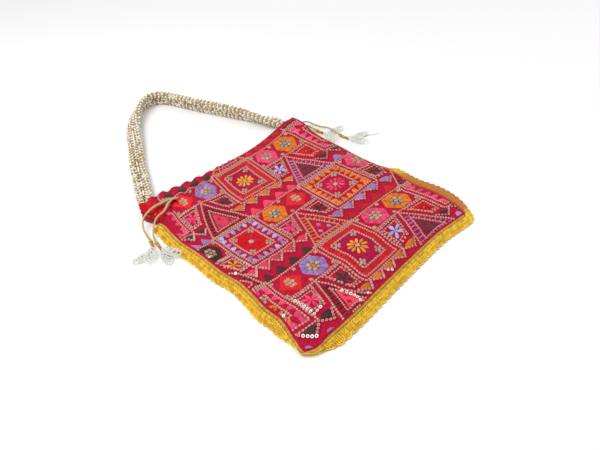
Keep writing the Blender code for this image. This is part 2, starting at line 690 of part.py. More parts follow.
def add_handle(collection, root, materials):
    """Two bead ropes from one corner of the mouth to the other, thin where they are sewn in."""
    for name, way in (("handle_rope_outer", 1), ("handle_rope_inner", -1)):
        route = handle_route(way)
        lengths = [0.0]
        for first, second in zip(route, route[1:]):
            lengths.append(lengths[-1] + (second - first).length)
        radii = []
        for length in lengths:
            from_end = min(length, lengths[-1] - length)
            thick = ROPE_END + (ROPE - ROPE_END) * smooth(ROPE_TUCK, ROPE_TUCK + ROPE_TAPER, from_end)
            radii.append(thick / ROPE)
        add_tube(name, route, ROPE, collection, root, materials["bead_rope"], radii=radii)


def settle(root, collection):
    """Put the origin at the middle of the bag's underside, its cords and handle aside."""
    bpy.context.view_layer.update()
    graph = bpy.context.evaluated_depsgraph_get()
    corners = []
    for name in ("front_panel", "back_panel", "lace_trim"):
        piece = collection.objects[name].evaluated_get(graph)
        corners += [piece.matrix_world @ Vector(corner) for corner in piece.bound_box]
    low = [min(corner[axis] for corner in corners) for axis in range(3)]
    high = [max(corner[axis] for corner in corners) for axis in range(3)]
    root.location = (-(low[0] + high[0]) / 2, -(low[1] + high[1]) / 2, -low[2])


def main():
    for leftover in list(bpy.data.objects):
        bpy.data.objects.remove(leftover, do_unlink=True)
    collection = bpy.data.collections.new("potli_bag")
    bpy.context.scene.collection.children.link(collection)
    root = bpy.data.objects.new("potli_bag_root", None)
    collection.objects.link(root)
    cloth = [make_material(name, COLOURS[name], 0.75) for name in CLOTH_FIELDS]
    materials = {
        "lace": make_material("lace", (0.85, 0.50, 0.03), 0.8),
        "gold_cord": make_material("gold_cord", (0.45, 0.32, 0.10), 0.45, 0.5),
        "brass_cord": make_material("brass_cord", (0.60, 0.48, 0.16), 0.4, 0.6),
        "copper": make_material("copper", (0.55, 0.30, 0.13), 0.3, 0.7),
        "clear_beads": make_material("clear_beads", (0.82, 0.88, 0.84), 0.1, alpha=0.6),
        "bead_rope": make_material("bead_rope", (0.72, 0.62, 0.42), 0.35, 0.2),
    }
    add_panel("front_panel", True, collection, root, cloth)
    add_panel("back_panel", False, collection, root, cloth)
    add_lace(collection, root, materials["lace"])
    add_left_drawstring(collection, root, materials)
    add_right_drawstring(collection, root, materials)
    add_handle(collection, root, materials)
    settle(root, collection)


main()
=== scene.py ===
"""Looks of the embroidered potli bag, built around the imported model.

Metres, +Z up. The cloth is mapped from flat coordinates, x across and v along the bag, both from the
panel's middle. v runs on past the mouth edge, round its fold and back down the inside of the hem.
"""
import random
from math import atan2, ceil, cos, hypot, pi, radians, sin

import bpy
import numpy as np
from mathutils import Matrix, Vector

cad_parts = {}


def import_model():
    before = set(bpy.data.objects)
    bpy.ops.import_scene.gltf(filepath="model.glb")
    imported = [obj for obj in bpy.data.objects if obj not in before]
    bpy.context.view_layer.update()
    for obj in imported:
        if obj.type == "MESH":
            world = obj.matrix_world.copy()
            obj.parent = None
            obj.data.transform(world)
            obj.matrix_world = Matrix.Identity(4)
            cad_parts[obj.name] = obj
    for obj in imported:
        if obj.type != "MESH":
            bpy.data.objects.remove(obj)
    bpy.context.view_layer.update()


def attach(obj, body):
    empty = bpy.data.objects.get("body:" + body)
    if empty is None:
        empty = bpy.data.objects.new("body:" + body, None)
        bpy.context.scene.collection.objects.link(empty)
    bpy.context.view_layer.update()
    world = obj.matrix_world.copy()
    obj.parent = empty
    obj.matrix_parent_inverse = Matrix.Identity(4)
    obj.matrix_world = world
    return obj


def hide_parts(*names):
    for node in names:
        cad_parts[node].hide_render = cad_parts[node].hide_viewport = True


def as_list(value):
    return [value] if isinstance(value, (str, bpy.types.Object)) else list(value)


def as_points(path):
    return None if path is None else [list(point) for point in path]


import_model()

# Where the cloth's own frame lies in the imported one
SHIFT = np.array((0.00006, 0.00603, 0.0))

# Sizes of the cloth, the same as in the CAD source
BAG_WIDTH, BAG_HEIGHT, BAG_DEPTH = 0.212, 0.254, 0.017
CLOTH, TUNNEL, MOUTH_GAP = 0.0009, 0.0026, 0.006
SEAM_LIFT, SEAM_FALL, CURL_LIFT, SEAM_CLEARANCE = 0.0025, 0.026, 0.003, 0.0005
HEM_DEPTH, HEM_TAB, HEM_RAMP, HEM_SIDE = 0.026, 0.002, 0.004, 0.010
SLIT_LENGTH, SLIT_WIDTH, SLIT_FROM_SIDE = 0.012, 0.0046, 0.033
LANE_RIGHT, LANE_LEFT, LANE_TWIN = 0.013, 0.0185, 0.0024
SQUARE_PITCH, ROW_PITCH, SQUARE_WIDTH, SQUARE_HEIGHT = 0.112, 0.0811, 0.048, 0.056
PATTERN_FROM_LEFT, PATTERN_FROM_MOUTH = 0.100, 0.048
LACE_WIDTH, LACE_HEADER, LACE_INSET, LACE_THICKNESS = 0.012, 0.0028, 0.004, 0.0008
LACE_CORNER, LACE_DROP, LACE_START = 0.002, 0.0004, 0.030
SCALLOP_PITCH, CURL_OUT, CURL_UNDER, LACE_RISE = 0.0065, 0.0022, 0.006, 0.0035
CORD, CORD_TURN, KNOT, TUBE_BEAD, TUBE_LENGTH = 0.0018, 0.007, 0.004, 0.0032, 0.009
PETAL_LENGTH, PETAL_WIDTH, PETAL_WIRE, PETAL_CLEAR, PETAL_LEAN = 0.022, 0.010, 0.0024, 0.004, 0.0007
ROPE, ROPE_END, ROPE_TUCK, ROPE_TAPER = 0.009, 0.005, 0.013, 0.014
CLEARANCE = 0.0003
SIDE, END = BAG_WIDTH / 2, BAG_HEIGHT / 2
HEM_STACK = 2 * CLOTH + TUNNEL
MOUTH_HEIGHT = 2 * HEM_STACK + MOUTH_GAP
SEAM_STACK = 2 * CLOTH + LACE_THICKNESS + 2 * SEAM_CLEARANCE
GAP_MIDDLE = HEM_STACK + MOUTH_GAP / 2
FOLD = pi * HEM_STACK / 2

LEFT_EDGE = ((0, 0.002), (0.03, -0.002), (0.09, 0.001), (0.14, 0.0045), (0.20, 0.0025),
             (0.28, 0.0005), (0.40, 0.0015), (0.52, 0.0005), (0.61, 0.0025), (0.69, 0.0005),
             (0.78, -0.003), (0.88, -0.002), (1, -0.003))
RIGHT_EDGE = ((0, -0.003), (0.06, -0.005), (0.12, -0.003), (0.20, 0.0), (0.31, 0.0005),
              (0.44, 0.002), (0.53, 0.001), (0.61, -0.001), (0.72, 0.0), (0.82, -0.003),
              (0.93, -0.0005), (1, 0.005))
MOUTH_EDGE = ((0, -0.003), (0.1, -0.0025), (0.2, 0.0015), (0.3, 0.0055), (0.42, 0.0095),
              (0.55, 0.0125), (0.66, 0.013), (0.76, 0.0105), (0.86, 0.0055), (0.95, 0.001),
              (1, 0.001))
BOTTOM_EDGE = ((0, 0.001), (0.08, 0.0045), (0.2, 0.0035), (0.4, -0.0005), (0.6, -0.004),
               (0.8, -0.0065), (0.93, -0.005), (1, -0.004))


# ---------- cloth shape ----------

def smooth(low, high, value):
    part = np.clip((value - low) / (high - low), 0, 1)
    return part * part * (3 - 2 * part)


def along(points, value):
    """Smooth curve through (place, amount) pairs."""
    places, amounts = np.array(points, float).T
    slopes = np.empty(len(points))
    slopes[1:-1] = (amounts[2:] - amounts[:-2]) / (places[2:] - places[:-2])
    slopes[0] = (amounts[1] - amounts[0]) / (places[1] - places[0])
    slopes[-1] = (amounts[-1] - amounts[-2]) / (places[-1] - places[-2])
    value = np.clip(value, places[0], places[-1])
    i = np.clip(np.searchsorted(places[1:], value, side="left"), 0, len(points) - 2)
    width = places[i + 1] - places[i]
    u = (value - places[i]) / width
    return ((2 * u ** 3 - 3 * u ** 2 + 1) * amounts[i] + (u ** 3 - 2 * u ** 2 + u) * width * slopes[i]
            + (3 * u ** 2 - 2 * u ** 3) * amounts[i + 1] + (u ** 3 - u ** 2) * width * slopes[i + 1])


def fractions(x, y):
    return (x + SIDE) / BAG_WIDTH, (END - y) / BAG_HEIGHT


def drawn_out(x, y):
    """How far the bottom left corner of the cloth is drawn out, to the left and down."""
    away = np.hypot(x + SIDE, y + END)
    return (CORNER_OUT * np.maximum(1 - away / CORNER_REACH, 0) ** 1.15,
            CORNER_DOWN * smooth(0.022, 0.006, away))


def cloth_xy(x, y):
    s, t = fractions(x, y)
    deep_x, deep_y = (np.maximum(v, 0) for v in (CORNER_ROUND - x - SIDE, CORNER_ROUND - y - END))
    deepest, slant = np.maximum(deep_x, deep_y), np.maximum(np.hypot(deep_x, deep_y), 1e-9)
    rounded = (1 - deepest / slant) * (np.minimum(deep_x, deep_y) > 0)
    out, down = drawn_out(x, y)
    x, y = x - out + rounded * deep_x, y - down + rounded * deep_y
    left = along(LEFT_EDGE, t) * np.maximum(1 - s, 0) ** 3
    right = along(RIGHT_EDGE, t) * np.maximum(s, 0) ** 3
    bottom = along(BOTTOM_EDGE, s) * np.maximum(t, 0) ** 3
    mouth = along(MOUTH_EDGE, s) * np.maximum(1 - t, 0) ** 3
    return x + left - right, y - bottom - mouth


def side_lifts(t):
    left = SEAM_LIFT * smooth(0.03, 0.10, t)
    return left, left + CURL_LIFT * smooth(0.04, 0.11, t) * (1 - smooth(0.55, 0.75, t))


def back_height(x, y):
    s, t = fractions(x, y)
    left, right = side_lifts(t)
    near_left = np.clip(1 - s * BAG_WIDTH / SEAM_FALL, 0, 1) ** 2
    near_right = np.clip(1 - (1 - s) * BAG_WIDTH / SEAM_FALL, 0, 1) ** 2
    near_bottom = SEAM_LIFT * np.clip(1 - (1 - t) * BAG_HEIGHT / SEAM_FALL, 0, 1) ** 2
    sides = left * near_left + right * near_right
    return sides + near_bottom * np.maximum(1 - sides / SEAM_LIFT, 0)


def front_height(x, y):
    s, t = fractions(x, y)
    left, right = side_lifts(t)
    mouth = (MOUTH_HEIGHT - SEAM_STACK) * (1 - smooth(0.02, 0.13, t))
    seam = left + (right - left) * smooth(0.3, 0.7, s) + SEAM_STACK + mouth
    crest = MOUTH_HEIGHT + (BAG_DEPTH - MOUTH_HEIGHT) * smooth(0.1, 0.4, t)
    crest = seam + (crest - seam) * (1 - np.maximum((t - 0.45) / 0.55, 0) ** 3)
    return seam + (crest - seam) * (1 - np.minimum(np.abs(2 * s - 1), 1) ** 4)


CORNER_OUT, CORNER_DOWN, CORNER_REACH, CORNER_ROUND = 0.0135, 0.0035, 0.042, 0.009
GATHER_PITCH, GATHER_DEPTH, GATHER_START = 0.0135, 0.0028, 0.0776
PUCKER_PITCH, PUCKER_DEPTH = 0.014, 0.0007
WAVE_DEPTH, QUILT_DEPTH = 0.0011, 0.0003
BACK_RAISED, BACK_FLATTER = 0.0008, 0.5


def front_relief(x, y):
    """Gathers at the drawn left corner, puckers along the seams, soft waves and quilting."""
    down = END - y
    gathered = (1 - smooth(0.008, 0.058, down)) * (1 - smooth(-0.040, 0.004, x))
    phase = 2 * pi * (x + GATHER_START + 0.10 * down) / GATHER_PITCH
    relief = -GATHER_DEPTH * gathered * (0.5 - 0.5 * np.cos(phase)) ** 1.5
    from_side = np.minimum(SIDE - np.abs(x), END + y)
    inside = smooth(0.0, 0.020, from_side)
    seam = smooth(0.0, 0.003, from_side) * (1 - smooth(0.006, 0.022, from_side))
    relief -= PUCKER_DEPTH * seam * (0.5 + 0.5 * np.sin(2 * pi * (y + 0.7 * x) / PUCKER_PITCH))
    waves = np.sin(62 * x + 21 * y + 0.8) * np.sin(48 * y - 17 * x + 0.5)
    waves += 0.6 * np.sin(95 * x - 40 * y + 2.1) * np.sin(88 * y + 30 * x)
    relief += WAVE_DEPTH * waves * inside * smooth(0.0, 0.03, down)
    quilt = np.sin(2 * pi * x / 0.0093) * np.sin(2 * pi * y / 0.0101)
    return relief + QUILT_DEPTH * quilt * inside


def surface(front, x, v):
    """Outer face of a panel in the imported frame, round the mouth's fold where v passes the edge."""
    x, v = np.broadcast_arrays(np.asarray(x, float), np.asarray(v, float))
    radius = HEM_STACK / 2
    turn = np.clip((v - END) / radius, 0, pi)
    back = np.maximum(v - END - FOLD, 0)
    inward = radius * (1 - np.cos(turn))
    ramp = np.clip((back - (HEM_DEPTH - HEM_TAB - HEM_RAMP)) / HEM_RAMP, 0, 1)
    inward = np.where(back > 0, HEM_STACK + (2 * CLOTH + CLEARANCE - HEM_STACK) * ramp, inward)
    y = np.minimum(v, END) - back
    px, py = cloth_xy(x, y)
    if front:
        z = front_height(x, y) + front_relief(x, y) * np.where(back > 0, 0.4, 1.0) - inward
    else:
        z = np.maximum(back_height(x, y), BACK_RAISED) + inward
    return np.stack([px, py + radius * np.sin(turn), z], -1) + SHIFT


def lay(front, x, v, height):
    """Places that height above the cloth's outer face."""
    step = 2e-4
    across = surface(front, x + step, v) - surface(front, x - step, v)
    up = surface(front, x, v + step) - surface(front, x, v - step)
    normal = np.cross(across, up)
    normal /= np.maximum(np.linalg.norm(normal, axis=-1, keepdims=True), 1e-12)
    if not front:
        normal = -normal
    return surface(front, x, v) + normal * np.asarray(height)[..., None]


# ---------- mesh helpers ----------

class Heap:
    """Gathers vertices, faces and per-corner thread coordinates of one piece."""

    def __init__(self):
        self.points, self.faces, self.uvs, self.tones, self.kinds = [], [], [], [], []
        self.count = 0

    def add(self, points, faces, uvs=None, tone=0.5, kind=0):
        points = np.asarray(points, float)
        self.points.append(points)
        self.uvs.append(np.zeros((len(points), 2)) if uvs is None else uvs)
        self.tones.append(np.broadcast_to(np.asarray(tone, float), len(points)))
        self.faces += [tuple(i + self.count for i in face) for face in faces]
        self.kinds += [kind] * len(faces)
        self.count += len(points)

    def build(self, name, materials, place=None, sharp=None):
        if not self.count:
            return None
        points = np.concatenate(self.points)
        if place is not None:
            points = place(points)
        return make_piece(name, points, self.faces, materials, np.concatenate(self.uvs),
                          np.concatenate(self.tones), self.kinds, sharp)


def make_piece(name, points, faces, materials, uvs=None, tones=None, kinds=None, sharp=None):
    """Mesh piece from arrays, with its thread coordinates and tone, riding on the bag."""
    mesh = bpy.data.meshes.new(name)
    mesh.from_pydata(np.asarray(points).tolist(), [], faces)
    loops = np.zeros(len(mesh.loops), np.int32)
    mesh.loops.foreach_get("vertex_index", loops)
    if uvs is not None:
        layer = mesh.uv_layers.new(name="threads")
        layer.data.foreach_set("uv", uvs[loops].astype(np.float32).ravel())
    if tones is not None:
        layer = mesh.attributes.new("tone", "FLOAT", "POINT")
        layer.data.foreach_set("value", tones.astype(np.float32))
    for material in materials:
        mesh.materials.append(material)
    if kinds is not None:
        mesh.polygons.foreach_set("material_index", np.array(kinds, np.int32))
    mesh.shade_smooth()
    if sharp:
        mesh.set_sharp_from_angle(angle=radians(sharp))
    mesh.update()
    piece = bpy.data.objects.new(name, mesh)
    bpy.context.scene.collection.objects.link(piece)
    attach(piece, "root")
    return piece


def turns_of(count):
    return [2 * pi * i / count for i in range(count)]


def worn_as(piece, slot, *nodes):
    """Hides the imported solids that a piece stands for and gives the piece back; the slot is not used."""
    if nodes:
        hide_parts(*nodes)
    return piece


def grid_faces(rows, columns, closed_columns=False, closed_rows=False):
    """Quads between the rows of a grid of points."""
    return [(r * columns + c, r * columns + (c + 1) % columns,
             (r + 1) % rows * columns + (c + 1) % columns, (r + 1) % rows * columns + c)
            for r in range(rows if closed_rows else rows - 1)
            for c in range(columns if closed_columns else columns - 1)]


def frames_along(line, closed=False):
    """Tangents and two sideways directions carried along a line without twist."""
    line = np.asarray(line, float)
    if closed:
        tangents = np.roll(line, -1, 0) - np.roll(line, 1, 0)
    else:
        tangents = np.gradient(line, axis=0)
    tangents /= np.maximum(np.linalg.norm(tangents, axis=1, keepdims=True), 1e-12)
    sideways = np.empty_like(tangents)
    start = np.cross(tangents[0], (0, 0, 1.0))
    if np.linalg.norm(start) < 1e-6:
        start = np.array((1.0, 0, 0))
    sideways[0] = start / np.linalg.norm(start)
    for i in range(1, len(line)):
        kept = sideways[i - 1] - tangents[i] * (sideways[i - 1] @ tangents[i])
        sideways[i] = kept / max(np.linalg.norm(kept), 1e-12)
    return tangents, sideways, np.cross(sideways, tangents)


def lengths_of(line):
    """Distance along the line at each of its points."""
    steps = np.linalg.norm(np.diff(np.asarray(line, float), axis=0), axis=1)
    return np.concatenate([[0], np.cumsum(steps)])


def scattered(dice, reach):
    return np.array([dice.uniform(-1, 1) for _ in range(3)]) * reach


def spaced(line, step):
    """The same line with even steps."""
    line = np.asarray(line, float)
    lengths = lengths_of(line)
    count = max(int(round(lengths[-1] / step)), 2)
    at = np.linspace(0, lengths[-1], count + 1)
    return np.stack([np.interp(at, lengths, line[:, k]) for k in range(3)], -1)


def add_tube(heap, line, radius, sides=8, closed=False, ridges=0, ridge_depth=0.0, twist=0.0, tone=0.5):
    """Round tube along a line, with twisted ridges where it is a laid cord."""
    line = np.asarray(line, float)
    _, across, up = frames_along(line, closed)
    lengths = lengths_of(line)
    radius = np.broadcast_to(np.asarray(radius, float), (len(line),))
    turns = np.array(turns_of(sides))
    theta = turns[None, :]
    size = radius[:, None] * (1 + ridge_depth * np.cos(ridges * theta - twist * lengths[:, None]))
    ring = (line[:, None] + across[:, None] * (np.cos(theta) * size)[..., None]
            + up[:, None] * (np.sin(theta) * size)[..., None])
    points = ring.reshape(-1, 3)
    uvs = np.stack([np.repeat(lengths, sides), np.tile(turns * radius.mean(), len(line))], -1)
    faces = grid_faces(len(line), sides, closed_columns=True, closed_rows=closed)
    if not closed:
        points = np.concatenate([points, line[:1], line[-1:]])
        uvs = np.concatenate([uvs, uvs[:1], uvs[-1:]])
        first, last = len(points) - 2, len(points) - 1
        base = (len(line) - 1) * sides
        faces += [(first, (c + 1) % sides, c) for c in range(sides)]
        faces += [(last, base + c, base + (c + 1) % sides) for c in range(sides)]
    if not np.isscalar(tone):
        tone = np.concatenate([np.repeat(tone, sides), tone[:1], tone[-1:]])
    heap.add(points, faces, uvs, tone)


def ball(segments, rings):
    """Unit sphere as points and faces."""
    turns = turns_of(segments)
    highs = [pi * r / rings for r in range(1, rings)]
    points = [(0, 0, 1), *((sin(high) * cos(turn), sin(high) * sin(turn), cos(high))
                           for high in highs for turn in turns), (0, 0, -1)]
    faces = [(0, 1 + s, 1 + (s + 1) % segments) for s in range(segments)]
    for r in range(rings - 2):
        for s in range(segments):
            a, b = 1 + r * segments + s, 1 + r * segments + (s + 1) % segments
            faces.append((a, a + segments, b + segments, b))
    last = len(points) - 1
    base = last - segments
    faces += [(last, base + (s + 1) % segments, base + s) for s in range(segments)]
    return np.array(points), faces


# ---------- materials ----------

def rgb(*values):
    """Linear colour from the usual 0 to 255 values."""
    shares = [value / 255 for value in values]
    return (*(s / 12.92 if s <= 0.04045 else ((s + 0.055) / 1.055) ** 2.4 for s in shares), 1.0)


def grey(value):
    return (value, value, value, 1)


def shade(colour, factor):
    return (colour[0] * factor, colour[1] * factor, colour[2] * factor, 1.0)


PALETTE = {name: rgb(*values) for name, values in {
    "crimson": (190, 6, 52), "satin_red": (208, 6, 28), "magenta": (180, 6, 64), "pink": (244, 76, 120),
    "coral": (236, 62, 92), "orange": (236, 126, 24), "yellow": (250, 176, 40), "lilac": (164, 132, 196),
    "blue": (168, 186, 240), "brown": (72, 34, 34), "green": (44, 46, 38), "beige": (190, 164, 136),
    "couched": (214, 166, 150), "deep_red": (160, 8, 40), "wine": (112, 14, 44), "hem_red": (186, 8, 44),
    "flame": (234, 14, 30)}.items()}


def feed(tree, socket, value):
    """Sets a socket to a value, or links an output to it."""
    if isinstance(value, (int, float, tuple)):
        socket.default_value = value
    else:
        tree.links.new(value, socket)


def add_node(tree, kind, output, inputs, **settings):
    """New node with its settings and inputs, as the output that is asked for."""
    node = tree.nodes.new("ShaderNode" + kind)
    for name, value in settings.items():
        setattr(node, name, value)
    for socket, value in inputs.items():
        feed(tree, node.inputs[socket], value)
    return node.outputs[output]


class Look:
    """Material whose methods add one node each and give back its output."""

    def __init__(self, name, roughness, metallic=0.0, sockets=None):
        self.material = bpy.data.materials.new(name)
        self.material.use_nodes = True
        self.tree = self.material.node_tree
        self.shader = self.tree.nodes["Principled BSDF"]
        for socket, value in {"Roughness": roughness, "Metallic": metallic, **(sockets or {})}.items():
            self.shader.inputs[socket].default_value = value

    def threads(self):
        return add_node(self.tree, "UVMap", "UV", {}, uv_map="threads")

    def drawn(self, attribute, output="Fac"):
        return add_node(self.tree, "Attribute", output, {}, attribute_name=attribute)

    def noise(self, scale, detail=3.0, places=None):
        places = places or add_node(self.tree, "TexCoord", "Object", {})
        return add_node(self.tree, "TexNoise", "Fac", {"Scale": scale, "Detail": detail, "Vector": places})

    def wave(self, period, direction, distortion=0.0):
        inputs = {"Scale": pi / 10 / period, "Distortion": distortion, "Detail Scale": 2.0,
                  "Vector": self.threads()}
        return add_node(self.tree, "TexWave", "Fac", inputs, bands_direction=direction)

    def mix(self, factor, first, second, mode="MIX"):
        return add_node(self.tree, "Mix", 2, {0: factor, 6: first, 7: second}, data_type="RGBA",
                        blend_type=mode)

    def times(self, first, second):
        return self.mix(1.0, first, second, "MULTIPLY")

    def ramp(self, source, *stops):
        node = self.tree.nodes.new("ShaderNodeValToRGB")
        elements = node.color_ramp.elements
        while len(elements) < len(stops):
            elements.new(0.5)
        for element, (place, colour) in zip(elements, stops):
            element.position, element.color = place, colour
        feed(self.tree, node.inputs["Fac"], source)
        return node.outputs["Color"]

    def painted(self, tint, height=None, strength=0.5, distance=0.0003):
        """Gives the shader its colour and bump, and returns the material."""
        feed(self.tree, self.shader.inputs["Base Color"], tint)
        if height:
            inputs = {"Strength": strength, "Distance": distance, "Height": height}
            feed(self.tree, self.shader.inputs["Normal"], add_node(self.tree, "Bump", "Normal", inputs))
        return self.material


def silk_thread(name, colour, period=0.0005, roughness=0.42):
    """Glossy floss laid side by side: fine ridges across the stitches, painted sheen and shade in streaks
    across its bundles, and darker blotches.
    """
    look = Look(name, roughness, sockets={"Specular IOR Level": 0.2})
    strands = look.wave(period, "X", 1.2)
    # Streaks across the bundles of floss: painted sheen and shade
    streaks = look.ramp(look.wave(0.0023, "X", 5.0), (0.12, grey(0.62)), (0.55, grey(1.12)))
    tint = look.times(look.mix(strands, shade(colour, 0.66), shade(colour, 1.14)), streaks)
    tint = look.mix(look.noise(160), tint, shade(colour, 0.86))
    light = look.mix(look.drawn("tone"), grey(0.76), grey(1.24))
    return look.painted(look.times(tint, light), strands, 0.5, 0.0002)


def couched_thread(name, colour):
    """Metallic cord sewn down: short twisted turns, darker between them as painted shade and lighter on top
    as a painted highlight, with dark red gaps that stand for the red ground in painted shade.
    """
    look = Look(name, 0.4, 0.15)
    turns = look.wave(0.0009, "DIAGONAL", 0.6)
    tint = look.ramp(turns, (0.0, shade(colour, 0.7)), (0.45, colour), (1.0, shade(colour, 1.15)))
    tint = look.mix(look.noise(220), tint, shade(colour, 0.8))
    return look.painted(look.mix(look.drawn("tone"), rgb(118, 34, 56), tint), turns, 0.6)


def woven_cloth():
    """Ground cloth: colour fields under a plain weave, with rows of darning stitches."""
    look = Look("embroidered_ground", 0.62, sockets={"Specular IOR Level": 0.14})
    field = look.drawn("field", "Color")
    weave = look.mix(0.5, look.wave(0.0006, "X", 0.8), look.wave(0.0008, "Y", 0.8))
    darning = look.wave(0.0017, "Y", 3.0)
    darker, lighter = look.times(field, (0.62, 0.55, 0.60, 1)), look.times(field, (1.22, 1.25, 1.25, 1))
    tint = look.mix(look.times(darning, grey(0.35)), look.mix(weave, darker, lighter), darker)
    cloudy = look.noise(330, 2.0, look.threads())
    patches = look.ramp(cloudy, (0.36, (0.70, 0.62, 0.70, 1)), (0.62, grey(1.12)))
    return look.painted(look.times(tint, patches), look.mix(0.5, weave, darning))


def plain_weave(name, colour, period=0.0007):
    """Lining and edge tape."""
    look = Look(name, 0.7, sockets={"Sheen Weight": 0.2})
    weave = look.mix(0.5, look.wave(period, "X"), look.wave(period * 1.2, "Y"))
    tint = look.mix(weave, shade(colour, 0.7), shade(colour, 1.15))
    return look.painted(look.mix(look.noise(70), tint, shade(colour, 0.82)), weave, 0.4)


def lace_yarn(name, colour, deeper, worn=None):
    """Cotton yarn with a soft twist, with painted shade deepening its hollows, and the worn colour laid on as
    painted shade where its tone is high.
    """
    look = Look(name, 0.72, sockets={"Sheen Weight": 0.25})
    twist = look.wave(0.0008, "DIAGONAL", 0.8)
    cloudy = look.ramp(look.noise(260), (0.38, (0.72, 0.66, 0.6, 1)), (0.6, grey(1.08)))
    tint = look.times(look.mix(twist, deeper, colour), cloudy)
    # worn is the colour of the painted shade, laid on where the tone attribute is high
    if worn:
        tint = look.mix(look.drawn("tone"), tint, worn)
    return look.painted(tint, twist, 0.6)


def laid_cord(name, colour, deeper, metallic, period=0.0011):
    """Twisted metallic cord, with painted shade between its strands and a painted highlight on them."""
    look = Look(name, 0.38, metallic)
    strands = look.wave(period, "DIAGONAL", 0.5)
    # deeper is the painted shade between the strands; the lightest stop is a painted highlight
    tint = look.ramp(strands, (0.0, deeper), (0.5, colour), (1.0, shade(colour, 1.2)))
    return look.painted(look.mix(look.noise(90), tint, shade(colour, 0.75)), strands, 0.5, 0.0002)


def bead_material(name, colour, other, roughness, metallic=0.0, coat=0.0):
    """Bead whose tint drifts from one to the next."""
    look = Look(name, roughness, metallic, {"Coat Weight": coat, "Coat Roughness": 0.08})
    tint = look.mix(look.drawn("tone"), colour, other)
    return look.painted(look.mix(look.noise(400, 1.0), tint, shade(colour, 0.9)))


def clear_bead(name, colour):
    look = Look(name, 0.2, sockets={"IOR": 1.45, "Alpha": 0.55})
    return look.painted(look.mix(look.drawn("tone"), colour, shade(colour, 0.9)))


def sequin_material():
    """Thin glossy disc with a pearly tint that drifts from one to the next; its near-white end is a painted
    glint for the bright ones.
    """
    look = Look("sequin", 0.34, 0.08, {"Coat Weight": 0.12, "Coat Roughness": 0.15})
    tint = look.ramp(look.drawn("tone"), (0.0, rgb(176, 120, 112)), (0.35, rgb(200, 152, 138)),
                     (0.6, rgb(216, 184, 168)), (1.0, rgb(252, 250, 246)))
    return look.painted(look.mix(0.4, tint, look.mix(look.noise(300), tint, shade(rgb(206, 160, 146), 0.9))))


MATERIALS = {name: silk_thread("silk_" + name, colour) for name, colour in PALETTE.items()
             if name not in ("beige", "couched")}
MATERIALS["beige"] = silk_thread("silk_beige", PALETTE["beige"], 0.0008, 0.5)
MATERIALS["couched"] = couched_thread("couched_cord", PALETTE["couched"])
GROUND, LINING, SEQUIN = woven_cloth(), plain_weave("lining", PALETTE["deep_red"]), sequin_material()


# ---------- embroidery pattern ----------

ORIGIN_X, ORIGIN_Y = PATTERN_FROM_LEFT - SIDE, END - PATTERN_FROM_MOUTH
HALF_W, HALF_H = SQUARE_WIDTH / 2, SQUARE_HEIGHT / 2
RISE = ROW_PITCH - HALF_H
TOP_LIMIT = END + 0.8 * FOLD
EDGE_MARGIN, PLAIN_HEM, HEM_FROM = 0.0022, 0.0042, 0.018
# Rings painted with a glint where they catch the light: stretches of the sewn rows with their reach, single
# ones, and loose petals
BRIGHT_RUNS = (((-0.0845, -0.0850), (-0.0830, -0.1040), 0.0030),
               ((-0.0830, -0.1040), (-0.0770, -0.1025), 0.0025),
               ((-0.1005, -0.1170), (-0.0915, -0.1232), 0.0035),
               ((-0.0806, -0.1193), (-0.0800, -0.1200), 0.0020))
BRIGHT_RINGS = ((-0.054, -0.1071), (-0.052, -0.1107), (-0.0503, -0.114), (-0.0489, -0.1169),
                (-0.0484, -0.1199), (-0.0488, -0.1232), (-0.0380, -0.1234), (-0.0063, -0.1212),
                (-0.0033, -0.1238), (-0.1028, -0.0885), (-0.1015, -0.0190), (-0.1028, 0.0165))
EDGE_PETALS = ((-0.1022, -0.0735, 2.2), (-0.1014, -0.0768, 0.6), (-0.1024, -0.0838, 0.2),
               (-0.1028, -0.0968, 0.8))
# By odd row and odd column: the square's kind with its hearts and triangles, and what lies on its right,
# hexagons with their cores, stars, and a ladder with its steps, field and diamonds
BIG_SQUARES = {(0, 0): ("R", "orange", "coral"), (0, 1): ("K", "brown", "lilac"),
               (1, 0): ("O", "lilac", "satin_red"), (1, 1): ("L", "coral", "brown")}
GAPS = {
    (0, 0): ((("pink", "magenta"), ("orange", "brown")), ("blue", "cross"), ("lilac", "wine", "brown")),
    (0, 1): ((("flame", None), ("lilac", "magenta")), ("pink", "green"), ("brown", "coral", "crimson")),
    (1, 0): ((("pink", "magenta"), ("brown", "wine")), ("green", "yellow"), ("brown", "coral", "crimson")),
    (1, 1): ((("orange", "brown"), ("flame", None)), ("pink", "green"), ("orange", None, "lilac"))}
INNER_W, INNER_H = 0.0155, 0.019
GLINT, SEQUIN_SIDES, LINE_STEP, ROW_STEP = 0.8, 8, 0.00088, 0.0033


def around(x, y, radius, turn):
    return x + radius * cos(turn), y + radius * sin(turn)


def stepped(route, step, count_of=round):
    """Places along a route in even steps, without its last one."""
    for (ax, ay), (bx, by) in zip(route, route[1:]):
        count = max(int(count_of(hypot(bx - ax, by - ay) / step)), 1)
        for i in range(count):
            yield ax + (bx - ax) * (i / count), ay + (by - ay) * (i / count)


def corners_of(x, y, w, h):
    return [(x - w, y - h), (x + w, y - h), (x + w, y + h), (x - w, y + h)]


def rect(x, y, w, h):
    return corners_of(x, y, w / 2, h / 2)


def bar(x, y, length, width, angle):
    c, s = cos(angle), sin(angle)
    return [(x + a * length / 2 * c - b * width / 2 * s, y + a * length / 2 * s + b * width / 2 * c)
            for a, b in ((-1, -1), (1, -1), (1, 1), (-1, 1))]


